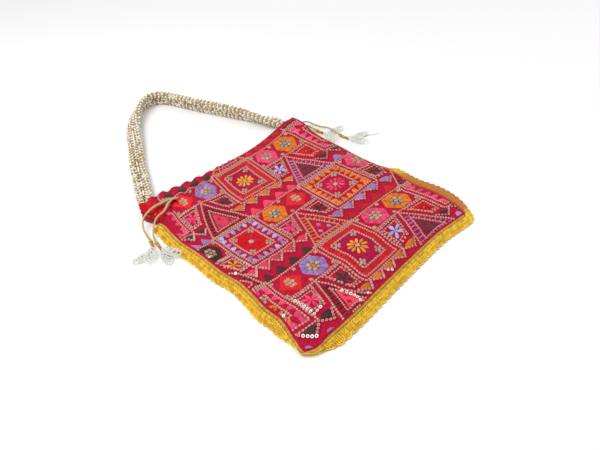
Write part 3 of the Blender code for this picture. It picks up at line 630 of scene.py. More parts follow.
def brightness(x, y):
    """Painted glint: some sequins on the lower left catch the light, so they are given a near-white tint."""
    for (ax, ay), (bx, by), reach in BRIGHT_RUNS:
        length = (bx - ax) ** 2 + (by - ay) ** 2
        u = min(max(((x - ax) * (bx - ax) + (y - ay) * (by - ay)) / length, 0), 1)
        if hypot(x - ax - (bx - ax) * u, y - ay - (by - ay) * u) < reach:
            return GLINT
    return 0.0


def pattern_place(x, y):
    from_left, from_row = x - ORIGIN_X, ORIGIN_Y - y
    row = np.round(from_row / ROW_PITCH)
    shift = 0.5 * np.mod(row, 2)
    column = np.round(from_left / SQUARE_PITCH - shift)
    return row, column, from_left - (column + shift) * SQUARE_PITCH, row * ROW_PITCH - from_row


def stretched(x, y):
    """Where the regular pattern lies on the worn cloth: slack in the middle, drawn out to the mouth."""
    slack = front_height(x, y) - 0.011
    near = np.maximum((y - 0.030) / 0.097, 0) ** 2
    at_mouth = np.maximum((y - 0.070) / 0.057, 0) ** 2
    aside = (x / 0.1) ** 3
    corner = smooth(0.032, 0.012, np.hypot(np.maximum(x + SIDE, 0), np.maximum(y + END, 0)))
    low = smooth(-0.084, -0.108, y) * smooth(-0.068, -0.048, x) * smooth(0.05, 0.015, x)
    drawn_x = at_mouth * (0.008 - 0.257 * x) + 0.007 * aside + 0.0031 * corner - 0.0058 * low
    drawn_y = near * (0.012 + 0.03 * x) - 0.001 * aside - 0.0049 * corner - 0.0062 * low
    return x + 0.0053 - 1.8 * slack + drawn_x, y + 0.0027 - 0.86 * slack + drawn_y


def unstretched(x, y):
    px, py = x, y
    for _ in range(8):
        qx, qy = stretched(px, py)
        px, py = px + 0.7 * (x - qx), py + 0.7 * (y - qy)
    return px, py


def field_colours(x, y):
    """Colour of the ground under the stitches."""
    row, column, dx, dy = pattern_place(x, y)
    odd_row, odd_column = np.mod(row, 2) == 1, np.mod(column, 2) == 1
    square = (np.abs(dx) < HALF_W) & (np.abs(dy) < HALF_H)
    inner = (np.abs(dx) < INNER_W) & (np.abs(dy) < INNER_H)
    red_square = square & ~odd_row & ~odd_column
    odd_between = np.mod(np.where(dx > 0, column, column - 1), 2) == 1
    ladder_half = HALF_W * -dy / RISE
    aside = np.abs(np.abs(dx) - SQUARE_PITCH / 2)
    ladder = (dy < 0) & (aside < ladder_half)
    star = (np.abs(dx) > HALF_W) & (dy < 0) & (dy > -HALF_H) & ~ladder
    inner_ladder = (dy < -0.016) & (aside < ladder_half - 0.0095) & (dy > -RISE + 0.0065)
    low_band = (dy < -HALF_H - 0.0125) & ~ladder
    colours = np.empty((*x.shape, 4))
    for name, where in (("crimson", slice(None)), ("satin_red", red_square), ("magenta", red_square & inner),
                        ("satin_red", square & odd_row & odd_column & inner),
                        ("satin_red", star & (dx < 0) & ~odd_row & ~odd_between),
                        ("deep_red", ladder & ~odd_row & odd_between),
                        ("wine", inner_ladder & ~odd_row & ~odd_between),
                        ("satin_red", inner_ladder & odd_row),
                        ("satin_red", low_band & odd_row & ~odd_column)):
        colours[where] = PALETTE[name]
    return colours


# Height of a stitch's foot, and where the shoulder of a patch lies from its middle to its rim
SUNK, SHOULDER = 0.00002, 0.84


class Embroidery:
    """Raised stitches of one panel, gathered by colour in flat coordinates."""

    def __init__(self, front, rough):
        self.front = front
        self.fine = 0.0024 * rough
        self.rough = rough
        self.flatter = 1.0 if front else BACK_FLATTER
        self.heaps = {name: Heap() for name in MATERIALS}
        self.sequins = Heap()
        self.dice = random.Random(11 if front else 12)

    def plain(self, x, y):
        """No stitches at the slit, in the plain hem and in the gathered corner by the handle's left end."""
        corner = x < -0.084 and y > 0.098
        hem = x > HEM_FROM and y > END - PLAIN_HEM
        return self.front and (corner or hem or self.at_slit(x, y))

    def inside(self, x, y, margin):
        outside = abs(x) > SIDE - margin or y < -END + margin or y > TOP_LIMIT - margin
        return not outside and not self.plain(x, y)

    @staticmethod
    def at_slit(x, y):
        dx = (x - (SLIT_FROM_SIDE - SIDE)) / (SLIT_LENGTH / 2 + 0.001)
        dy = (y - (END - LANE_LEFT)) / (SLIT_WIDTH / 2 + 0.0012)
        return dx * dx + dy * dy < 1

    def worn(self, places):
        if not self.front:
            return places
        x, y = np.array(places, float).T
        return [tuple(map(float, place)) for place in np.stack(stretched(x, y), -1)]

    def clip(self, outline):
        """Outline cut to the cloth's rectangle."""
        bounds = ((0, 1, -SIDE + EDGE_MARGIN), (0, -1, -SIDE + EDGE_MARGIN),
                  (1, 1, -END + EDGE_MARGIN), (1, -1, -TOP_LIMIT))
        for axis, sign, low in bounds:
            kept = []
            for first, second in zip(outline, outline[1:] + outline[:1]):
                a, b = sign * first[axis] - low, sign * second[axis] - low
                if a >= 0:
                    kept.append(first)
                if (a >= 0) != (b >= 0):
                    u = a / (a - b)
                    kept.append((first[0] + (second[0] - first[0]) * u,
                                 first[1] + (second[1] - first[1]) * u))
            outline = kept
            if len(outline) < 3:
                return []
        return outline

    def patch(self, colour, outline, height=0.0008, angle=None, tone=None):
        """Satin-stitched patch: an outline whose middle rises like padded floss."""
        outline = self.clip(self.worn([(float(x), float(y)) for x, y in outline]))
        if len(outline) < 3:
            return
        rim = np.array(list(stepped(outline + outline[:1], self.fine, ceil)))
        middle = rim.mean(0)
        if self.plain(*middle):
            return
        reach = np.linalg.norm(rim - middle, axis=1).max()
        inner = max(int(ceil(reach * SHOULDER / (1.6 * self.fine))), 1)
        rings = [(1.0, SUNK), (SHOULDER, height * 0.6)]
        rings += [(SHOULDER * (1 - (i + 1) / inner), height) for i in range(inner - 1)]
        n, top = len(rim), len(rings) * len(rim)
        points = [np.column_stack([middle + (rim - middle) * share, np.full(n, up)]) for share, up in rings]
        points = np.concatenate([*points, [[*middle, height]]])
        faces = grid_faces(len(rings), n, closed_columns=True)
        faces += [(top - n + c, top - n + (c + 1) % n, top) for c in range(n)]
        area = np.sum(rim[:, 0] * np.roll(rim[:, 1], -1) - np.roll(rim[:, 0], -1) * rim[:, 1])
        if (area < 0) == self.front:
            faces = [face[::-1] for face in faces]
        if angle is None:
            angle = self.dice.choice((0.0, pi / 2))
        turn = np.array([[cos(angle), sin(angle)], [-sin(angle), cos(angle)]])
        self.heaps[colour].add(points, faces, (points[:, :2] - middle) @ turn.T,
                               self.dice.random() if tone is None else tone)

    def line(self, route, width=0.0019, closed=False):
        """Row of small rings sewn down: a ribbon pinched at every third place."""
        route = route + route[:1] if closed else route
        places = self.worn([*stepped(route, LINE_STEP * self.rough), route[-1]])
        run = []
        for place in places + [None]:
            if place is not None and self.inside(*place, margin=0.001):
                run.append(place)
                continue
            if len(run) > 2:
                self.ribbon(np.array(run), width)
            run = []

    def ribbon(self, run, width, height=0.0008):
        ahead = np.gradient(run, axis=0)
        ahead /= np.maximum(np.linalg.norm(ahead, axis=1, keepdims=True), 1e-9)
        across = np.stack([-ahead[:, 1], ahead[:, 0]], -1)
        wide = np.arange(len(run)) % 3 != 2
        pinch = np.where(wide, 1.0, 0.3)
        sides, ups = np.array(((-0.5, 0.0), (-0.3, 0.8), (0.0, 1.0), (0.3, 0.8), (0.5, 0.0))).T
        flat = run[:, None] + across[:, None] * (sides * width * pinch[:, None])[..., None]
        points = np.concatenate([flat, (SUNK + height * ups * (0.4 + 0.6 * pinch[:, None]))[..., None]], -1)
        uvs = np.stack([np.repeat(lengths_of(run), len(sides)), np.tile(sides * width, len(run))], -1)
        faces = grid_faces(len(run), len(sides))
        if self.front:
            faces = [face[::-1] for face in faces]
        # Tone 0 at the pinches gives them the couched cord's dark red: the red ground there, with painted
        # shade
        tones = np.repeat(wide.astype(float), len(sides))
        self.heaps["couched"].add(points.reshape(-1, 3), faces, uvs, tones)

    def sequin(self, x, y, bright):
        """Ring-shaped sequin lying a little askew."""
        if not self.inside(x, y, 0.003):
            return
        dice = self.dice
        outer, hole = 0.00118 + 0.0003 * bright, 0.00045 + 0.0002 * bright
        tilt_x, tilt_y = dice.uniform(-0.10, 0.10), dice.uniform(-0.10, 0.10)
        lift = 0.0011 + dice.uniform(0, 0.0002)
        points = []
        for radius, up in ((outer, 0.0), (hole, -0.0002), (hole, -0.0004), (outer, -0.0002)):
            for turn in turns_of(SEQUIN_SIDES):
                dx, dy = around(0, 0, radius, turn)
                points.append((x + dx, y + dy, lift + up + dx * tilt_x + dy * tilt_y))
        faces = grid_faces(4, SEQUIN_SIDES, closed_columns=True, closed_rows=True)
        if not self.front:
            faces = [face[::-1] for face in faces]
        # A bright sequin's tone reaches the near-white end of the sequin ramp: a painted glint
        self.sequins.add(points, faces, None, min(0.55 * dice.random() + bright, 1))

    def sequin_row(self, route, closed=False):
        for place in stepped(route + route[:1] if closed else route, ROW_STEP * self.rough):
            (x, y), = self.worn([place])
            self.sequin(x, y, brightness(x, y))

    def drop(self, colour, x, y, length, width, angle):
        """Teardrop with its point away from angle's direction."""
        outline = []
        for turn in turns_of(12):
            ahead = length / 2 * cos(turn)
            aside = width / 2 * sin(turn) * (1 + 0.45 * cos(turn))
            outline.append((x + ahead * cos(angle) - aside * sin(angle),
                            y + ahead * sin(angle) + aside * cos(angle)))
        self.patch(colour, outline, 0.0011, angle + pi / 2)

    def blob(self, colour, x, y, radius, lobes=5, height=0.001):
        """Small knot of stitches with a lobed edge."""
        start = self.dice.random()
        self.patch(colour, [around(x, y, radius * (0.82 + 0.18 * cos(lobes * turn)), turn + start)
                            for turn in turns_of(2 * lobes)], height)

    def petals(self, colour, x, y, middle, count, start, length, width):
        """Teardrops in a ring."""
        for turn in turns_of(count):
            self.drop(colour, *around(x, y, middle, turn + start), length, width, turn + start)

    def florets(self, x, y, out_x, out_y, radius=0.0036):
        """Crosses of four beige petals, in the corners of a square."""
        for sx in (-1, 1):
            for sy in (-1, 1):
                self.petals("beige", x + sx * out_x, y + sy * out_y, radius * 0.5, 4, 0, radius * 0.95,
                            radius * 0.62)

    def daisy(self, colour, x, y, petals, hub=0.3, slim=0.3, radius=0.0098):
        self.petals(colour, x, y, radius * (1 + hub) / 2, petals, 0.2, radius * (1 - hub), radius * slim)
        self.blob("beige", x, y, radius * hub, 6)

    def diamond(self, colour, x, y, width, height, up):
        self.patch(colour, [(x - width / 2, y), (x, y - height / 2), (x + width / 2, y), (x, y + height / 2)],
                   up, 0.0)

    def heart(self, colour, x, y, width, height):
        """Fan of satin stitches with a rounded top and darker lines that spread from its tip."""
        outline = [(x, y - height * 0.5)]
        for turn in map(radians, range(-20, 201, 22)):
            outline.append((x + width / 2 * cos(turn), y + height * (0.1 + 0.4 * sin(turn))))
        self.patch(colour, outline, 0.001, pi / 2)
        for lean in (-1, 0, 1):
            stitch = bar(x + lean * width * 0.18, y + height * 0.06, height * 0.5, 0.0005,
                         pi / 2 - lean * 0.42)
            self.patch("wine", stitch, 0.0012, 0.0)

    def band(self, colour, outer, inner, parts):
        """Satin band between two outlines of as many corners, sewn in bundles side by side."""
        outer, inner = np.array(outer), np.array(inner)
        for i in range(len(outer)):
            j = (i + 1) % len(outer)
            for k in range(parts):
                u, v = k / parts, (k + 1) / parts
                corners = (outer[i] + (outer[j] - outer[i]) * u, outer[i] + (outer[j] - outer[i]) * v,
                           inner[i] + (inner[j] - inner[i]) * v, inner[i] + (inner[j] - inner[i]) * u)
                self.patch(colour, corners, 0.0009,
                           atan2(outer[j][1] - outer[i][1], outer[j][0] - outer[i][0]))

    def hexagon(self, x, y, width, height, colour, core):
        def ring(w, h):
            return [(x - w / 2, y), (x - w / 4, y - h / 2), (x + w / 4, y - h / 2), (x + w / 2, y),
                    (x + w / 4, y + h / 2), (x - w / 4, y + h / 2)]
        core_ring = ring(width * 0.50, height * 0.54)
        self.band(colour, ring(width, height), core_ring, 5 if self.front else 2)
        if core:
            self.patch(core, core_ring, 0.0004, 0.0)
        for i in range(22 if self.front else 0):
            turn = 2 * pi * (i + 0.5) / 22
            reach = 0.385 * (1 + 0.05 * cos(6 * turn))
            stitch = bar(x + reach * width * cos(turn), y + reach * height * sin(turn),
                         0.0046, 0.0006, turn)
            self.patch(colour, stitch, 0.0012, turn, tone=0.0 if i % 2 else 1.0)
        self.gem(x, y, width * 0.17, height * 0.20)

    def gem(self, x, y, half_w, half_h):
        """Close group of small rings."""
        for px, py in ((0, 0), (-1, 0), (1, 0), (-0.5, 0.85), (0.5, 0.85), (-0.5, -0.85), (0.5, -0.85)):
            self.blob("beige", x + px * half_w, y + py * half_h, 0.0027, 5, 0.0013)

    def square_outline(self, x, y, half_w, half_h, *grows, width=0.0019):
        """Couched cords round a square, for a sequined frame two of them."""
        for grow in grows:
            self.line(corners_of(x, y, half_w + grow, half_h + grow), width, closed=True)

    def big_square(self, x, y, kind):
        self.square_outline(x, y, HALF_W, HALF_H, -0.0021, 0.0019)
        if kind == "R":
            self.square_outline(x, y, 0.0148, 0.0185, 0, width=0.0021)
            self.daisy("yellow", x, y, 10, slim=0.26)
            self.florets(x, y, 0.0106, 0.0140)
            for i in range(-4, 5):
                for side in (-1, 1):
                    self.patch("satin_red", rect(x + i * 0.0046, y + side * 0.0232, 0.0042, 0.0062),
                               0.0005, pi / 2)
            for i in range(-5, 6):
                for side in (-1, 1):
                    self.patch("satin_red", rect(x + side * 0.0188, y + i * 0.0046, 0.0056, 0.0042),
                               0.0005, 0.0)
            return
        pair = {"K": ("pink", "pink"), "L": ("blue", "lilac"), "O": ("orange", "orange")}[kind]
        count, full = 5 if kind == "K" else 6, 1.0 if kind == "L" else 1.22
        places = [(i - (count - 1) / 2) * 0.036 / (count - 1) for i in range(count)]
        for i, place in enumerate(places):
            for side in (-1, 1):
                self.drop(pair[i % 2], x + place, y + side * 0.0228, 0.0058 * full, 0.0042 * full,
                          side * pi / 2)
        for i, place in enumerate(places):
            for side in (-1, 1):
                self.drop(pair[1 - i % 2], x + side * 0.0190, y + place, 0.0062 * full, 0.0044 * full,
                          pi if side < 0 else 0)
        if x < -SIDE and y > 0:
            return
        self.square_outline(x, y, 0.0136, 0.0168, 0, width=0.0021)
        self.florets(x, y, 0.0098, 0.0128)
        if kind == "L":
            self.blob("beige", x, y, 0.0032, 6)
            self.petals("satin_red", x, y, 0.0065, 4, pi / 4, 0.006, 0.003)
        elif kind == "O":
            self.daisy("pink", x, y, 10, slim=0.26)
        else:
            self.daisy("yellow", x, y, 8, slim=0.28)

    def star(self, x, y, kind):
        if kind == "cross":
            self.petals("satin_red", x, y, 0.0034, 4, pi / 4, 0.0062, 0.0022)
            self.blob("orange", x, y, 0.0014)
            return
        self.petals(kind, x, y, 0.0042, 5 if kind in ("blue", "yellow", "green") else 6, 0.3, 0.0068, 0.0030)
        self.blob(kind, x, y, 0.0016)

    def gap(self, x, y, hexagons, stars, ladder):
        """What lies between two big squares: hexagons above, stars and a ladder below."""
        for side, (colour, core) in zip((-1, 1), hexagons):
            cx, cy = x + side * 0.0142, y + 0.0142
            if colour == "flame":
                self.diamond("flame", cx, cy, 0.026, 0.027, 0.0008)
                self.gem(cx, cy, 0.0030, 0.0048)
            else:
                self.hexagon(cx, cy, 0.0262, 0.0244, colour, core)
        for sx in (-1, 0, 1):
            for sy in (0.0034, 0.0246):
                self.blob("beige", x + sx * 0.0276, y + sy, 0.0024, 4)
        self.line([(x - 0.030, y), (x + 0.030, y)])
        slope = HALF_W / RISE
        for side, kind in zip((-1, 1), stars):
            top, low = y - 0.0026, y - HALF_H + 0.0020
            frame_line = [(x + side * 0.0286, top), (x + side * (0.0062 + slope * 0.002), top),
                          (x + side * (0.0056 + slope * (y - low)), low), (x + side * 0.0286, low)]
            self.sequin_row(frame_line, closed=True)
            centre_x, centre_y = x + side * 0.0194, (top + low) / 2
            self.line([(centre_x + (px - centre_x) * 0.74, centre_y + (py - centre_y) * 0.74)
                       for px, py in frame_line], 0.0016, closed=True)
            self.star(centre_x, y - 0.0140, kind)
        colour, field, gem = ladder
        base = y - RISE
        for side in (-1, 1):
            self.line([(x, y - 0.001), (x + side * HALF_W, base)])
            self.line([(x, y - 0.0155), (x + side * (HALF_W - 0.0105), base + 0.0068)], width=0.0017)
            down, out = -RISE / hypot(RISE, HALF_W), side * HALF_W / hypot(RISE, HALF_W)
            ahead_x, ahead_y = side * down, -side * out
            angle = atan2(ahead_y, ahead_x)
            for i in range(9):
                u = (i + 2.4) / 11.6
                px, py = x + side * HALF_W * u + ahead_x * 0.0041, y - RISE * u + ahead_y * 0.0041
                self.patch(colour, bar(px, py, 0.0052, 0.0013, angle), 0.0009, angle + pi / 2)
        self.line([(x - HALF_W + 0.0105, base + 0.0068), (x + HALF_W - 0.0105, base + 0.0068)], 0.0017)
        for i in range(-4, 5):
            self.patch(colour, bar(x + i * 0.0043, base + 0.0036, 0.0044, 0.0013, pi / 2), 0.0009, 0.0)
        if field:
            self.patch(field, [(x, y - 0.021), (x - 0.0100, base + 0.0085), (x + 0.0100, base + 0.0085)],
                       0.0004, pi / 2)
        for px, py in ((0, 0.0205), (-0.0056, 0.0120), (0.0056, 0.0120)):
            self.diamond(gem, x + px, base + py, 0.0048, 0.0062, 0.0011)

    def zigzag_band(self, x, y, top, low):
        """Five hearts, a sequined zigzag and four triangles, under a big square."""
        start, base = y - HALF_H, y - RISE
        for i in range(-2, 3):
            self.heart(top, x + i * 0.016, start - 0.0062, 0.0112, 0.0082)
        points = [(x + (i - 5) * 0.008, start - (0.0125 if i % 2 else 0.0040)) for i in range(11)]
        self.sequin_row(points)
        for i in range(-2, 2):
            cx = x + (i + 0.5) * 0.016
            width = 0.0060 if i in (-2, 1) else 0.0068
            self.patch(low, [(cx - width, base + 0.0018), (cx + width, base + 0.0018),
                             (cx + 0.0012, base + 0.0108), (cx - 0.0012, base + 0.0108)], 0.0008, pi / 2)

    def fill(self):
        for row in range(-1, 4):
            y = ORIGIN_Y - row * ROW_PITCH
            for column in range(-2, 3):
                odd = row % 2, column % 2
                x = ORIGIN_X + (column + 0.5 * odd[0]) * SQUARE_PITCH
                kind, *colours = BIG_SQUARES[odd]
                if abs(x) < SIDE + 0.08:
                    self.big_square(x, y, kind)
                    self.zigzag_band(x, y, *colours)
                if abs(x + SQUARE_PITCH / 2) <= SIDE + 0.04:
                    self.gap(x + SQUARE_PITCH / 2, y, *GAPS[odd])
            self.line([(-SIDE - 0.01, y - RISE), (SIDE + 0.01, y - RISE)])
        if self.front:
            for place in BRIGHT_RINGS:
                self.sequin(*place, GLINT)
            for x, y, turn in EDGE_PETALS:
                self.drop("orange", *map(float, unstretched(x, y)), 0.0064, 0.0022, turn)

    def laid(self, points):
        return lay(self.front, points[:, 0], points[:, 1], points[:, 2] * self.flatter)

    def build(self, prefix):
        pieces = [heap.build(f"{prefix}_stitch_{name}", [MATERIALS[name]], self.laid)
                  for name, heap in self.heaps.items()]
        pieces.append(self.sequins.build(f"{prefix}_sequins", [SEQUIN], self.laid, sharp=40))
        return [worn_as(piece, "embroidered_cloth") for piece in pieces if piece]


# ---------- cloth panels ----------

def make_panel(front, pitch):
    """Cloth panel with its folded hem, as one sheet given its thickness."""
    inner = SIDE - HEM_SIDE
    across = int(round(2 * inner / pitch))
    side = max(int(round(HEM_SIDE / pitch)), 3)
    columns = np.concatenate([np.linspace(-SIDE, -inner, side, endpoint=False),
                              np.linspace(-inner, inner, across + 1),
                              np.linspace(inner, SIDE, side + 1)[1:]])
    rows = np.concatenate([np.linspace(-END, END, int(round(2 * END / pitch)), endpoint=False),
                           END + np.linspace(0, FOLD, 9),
                           END + FOLD + np.linspace(0, HEM_DEPTH, 14)[1:]])
    if front:
        middle_x, middle_y = SLIT_FROM_SIDE - SIDE, END - LANE_LEFT
        for place, lines in ((middle_x - SLIT_LENGTH / 2, columns), (middle_x + SLIT_LENGTH / 2, columns),
                             (middle_y, rows)):
            lines[np.argmin(np.abs(lines - place))] = place
    x, v = np.meshgrid(columns, rows)
    if front:
        near = np.abs(x - middle_x) < SLIT_LENGTH / 2
        open_half = SLIT_WIDTH / 2 * np.sqrt(np.clip(1 - ((x - middle_x) / (SLIT_LENGTH / 2)) ** 2, 0, 1))
        above = rows[np.where(rows > middle_y + 1e-6)[0][0]]
        below = rows[np.where(rows < middle_y - 1e-6)[0][-1]]
        v = np.where(near & (v == above), np.maximum(middle_y + open_half, middle_y + 2e-4), v)
        v = np.where(near & (v == below), np.minimum(middle_y - open_half, middle_y - 2e-4), v)
        step = rows[1] - rows[0]
        for k, share in ((1, 0.66), (2, 0.33)):
            high, low = rows[rows > middle_y + 1e-6][k], rows[rows < middle_y - 1e-6][-1 - k]
            eased = share * np.maximum(open_half - step, 0)
            v = np.where(near & (v == high), v + eased, v)
            v = np.where(near & (v == low), v - eased, v)
    points = surface(front, x.ravel(), v.ravel())
    n_rows, n_columns = x.shape
    faces = []
    for r in range(n_rows - 1):
        middle = (rows[r] + rows[r + 1]) / 2
        for c in range(n_columns - 1):
            at = (columns[c] + columns[c + 1]) / 2
            if middle > END + FOLD and abs(at) > inner:
                continue
            if front and abs(at - middle_x) < SLIT_LENGTH / 2 and below < middle < above:
                continue
            a = r * n_columns + c
            face = (a, a + 1, a + n_columns + 1, a + n_columns)
            faces.append(face if front else face[::-1])
    used = np.zeros(len(points), bool)
    used[np.unique(np.array(faces))] = True
    index = np.cumsum(used) - 1
    faces = [tuple(int(index[i]) for i in face) for face in faces]
    flat_x, flat_v = x.ravel()[used], v.ravel()[used]
    panel = "front" if front else "back"
    piece = make_piece(panel + "_cloth", points[used], faces, [GROUND, LINING],
                       np.stack([flat_x, flat_v], -1))
    field = piece.data.attributes.new("field", "FLOAT_COLOR", "POINT")
    colours = field_colours(*(unstretched(flat_x, flat_v) if front else (flat_x, flat_v)))
    if front:
        colours[(flat_v > END - PLAIN_HEM) & (flat_x > HEM_FROM)] = PALETTE["hem_red"]
        colours[flat_v > TOP_LIMIT] = PALETTE["hem_red"]
        colours[(flat_x < -0.090) & (flat_v > 0.100)] = PALETTE["satin_red"]
    field.data.foreach_set("color", colours.astype(np.float32).ravel())
    shell = piece.modifiers.new("thickness", "SOLIDIFY")
    shell.thickness = CLOTH
    shell.offset = -1
    shell.material_offset = 1
    return worn_as(piece, "embroidered_cloth", panel + "_panel")


def embroidered(front, name, rough):
    work = Embroidery(front, rough)
    work.fill()
    return work.build(name)


FRONT, BACK = make_panel(True, 0.0014), make_panel(False, 0.0018)
front_pieces, back_pieces = embroidered(True, "front", 1.0), embroidered(False, "back", 1.5)


# ---------- lace ----------

def lace_route(step):
    """Places and outward directions along three sides of the cloth, with the distance along the lace."""
    inset_x, inset_y = SIDE - LACE_INSET, END - LACE_INSET
    top = END - LACE_START
    side = top + inset_y - LACE_CORNER
    bottom = 2 * (inset_x - LACE_CORNER)
    swing = pi / 2 * (LACE_WIDTH + LACE_INSET)
    places, start = [], 0.0
    for index, length in enumerate((side, swing, bottom, swing, side)):
        length = SCALLOP_PITCH * max(round(length / SCALLOP_PITCH), 1)
        count = int(round(length / step))
        for k in range(count + (index == 4)):
            u = k / count
            s, c = sin(pi / 2 * u), cos(pi / 2 * u)
            place = ((-inset_x, top - side * u, -1, 0),
                     (-inset_x + LACE_CORNER * (1 - c), -inset_y + LACE_CORNER * (1 - s), -c, -s),
                     (-inset_x + LACE_CORNER + bottom * u, -inset_y, 0, -1),
                     (inset_x - LACE_CORNER * (1 - s), -inset_y + LACE_CORNER * (1 - c), s, -c),
                     (inset_x, -inset_y + LACE_CORNER + side * u, 1, 0))[index]
            places.append((*place, start + length * u))
        start += length
    return np.array(places)


LACE_ROUTE = lace_route(SCALLOP_PITCH / 8)
LACE_LENGTH = LACE_ROUTE[-1, 4]
LACE_RIM, NOTCH = LACE_INSET + LACE_WIDTH, 0.0017
SPOKES, STITCH_PITCH, STITCH_LENGTH = 4, 0.0038, 0.0024
SPOKE_SHARES = np.linspace(0, 1, 8)
SPOKE_RADII = np.array([0.4, 0.62, 0.42, 0.62, 0.42, 0.62, 0.5, 0.4]) * 0.001


def on_lace_route(distance, *columns):
    return [np.interp(distance, LACE_ROUTE[:, 4], LACE_ROUTE[:, k]) for k in columns]


def lace_place(distance, out, lift=0.0):
    """Place on the lace: distance along it, and out from its sewn edge. Curled under on the upper right."""
    distance, out = np.broadcast_arrays(np.asarray(distance, float), np.asarray(out, float))
    x, y, nx, ny = on_lace_route(distance, 0, 1, 2, 3)
    size = np.hypot(nx, ny)
    nx, ny = nx / size, ny / size
    above = CLOTH + SEAM_CLEARANCE + LACE_THICKNESS
    top = back_height(x + nx * LACE_INSET, y + ny * LACE_INSET) + above
    inner = back_height(x, y) + above
    t = fractions(x, y)[1]
    narrowed = smooth(1.0, 0.2, np.hypot((x + SIDE) / 0.022, (y + END) / 0.036))
    curl = np.where(nx > 0.99, smooth(0.0, 0.10, 0.60 - t), 0.62 * narrowed)
    risen = np.where(nx > 0.99, smooth(0.50, 0.62, t) * (1 - smooth(0.88, 1.0, t)), 0.0)
    foot = LACE_THICKNESS + LACE_RISE * risen
    edge, header, rim = LACE_INSET, LACE_INSET + LACE_HEADER, LACE_RIM
    flat_z = np.where(out < edge, inner + (top - inner) * out / edge,
                      np.where(out < header, top - LACE_DROP * (out - edge) / LACE_HEADER,
                               top - LACE_DROP + (foot - top + LACE_DROP)
                               * smooth(0, 1, np.clip((out - header) / (rim - header), 0, 1))))
    part = np.clip((out - edge) / (rim - edge), 0, 1)
    bulge = CURL_OUT * np.sin(pi * np.minimum(part / 0.6, 1))
    under = CURL_UNDER * np.maximum(part - 0.3, 0) / 0.7
    curled_out = np.minimum(out, edge) + bulge - under
    curled_z = np.where(out < edge, flat_z, top + (LACE_THICKNESS - top) * smooth(0, 1, part / 0.85))
    real_out = out + (curled_out - out) * curl
    z = flat_z + (curled_z - flat_z) * curl
    px, py = cloth_xy(x + nx * real_out, y + ny * real_out)
    return np.stack([px, py, z + lift], -1) + SHIFT


def lace_painted_shade(distance):
    """Painted shade: 1 on the lower half of the right side, where the lace is painted a deeper orange for the
    shade on it, 0 elsewhere.
    """
    y, nx = on_lace_route(distance, 1, 2)
    return smooth(0.9, 0.99, nx) * smooth(-0.032, -0.046, y)


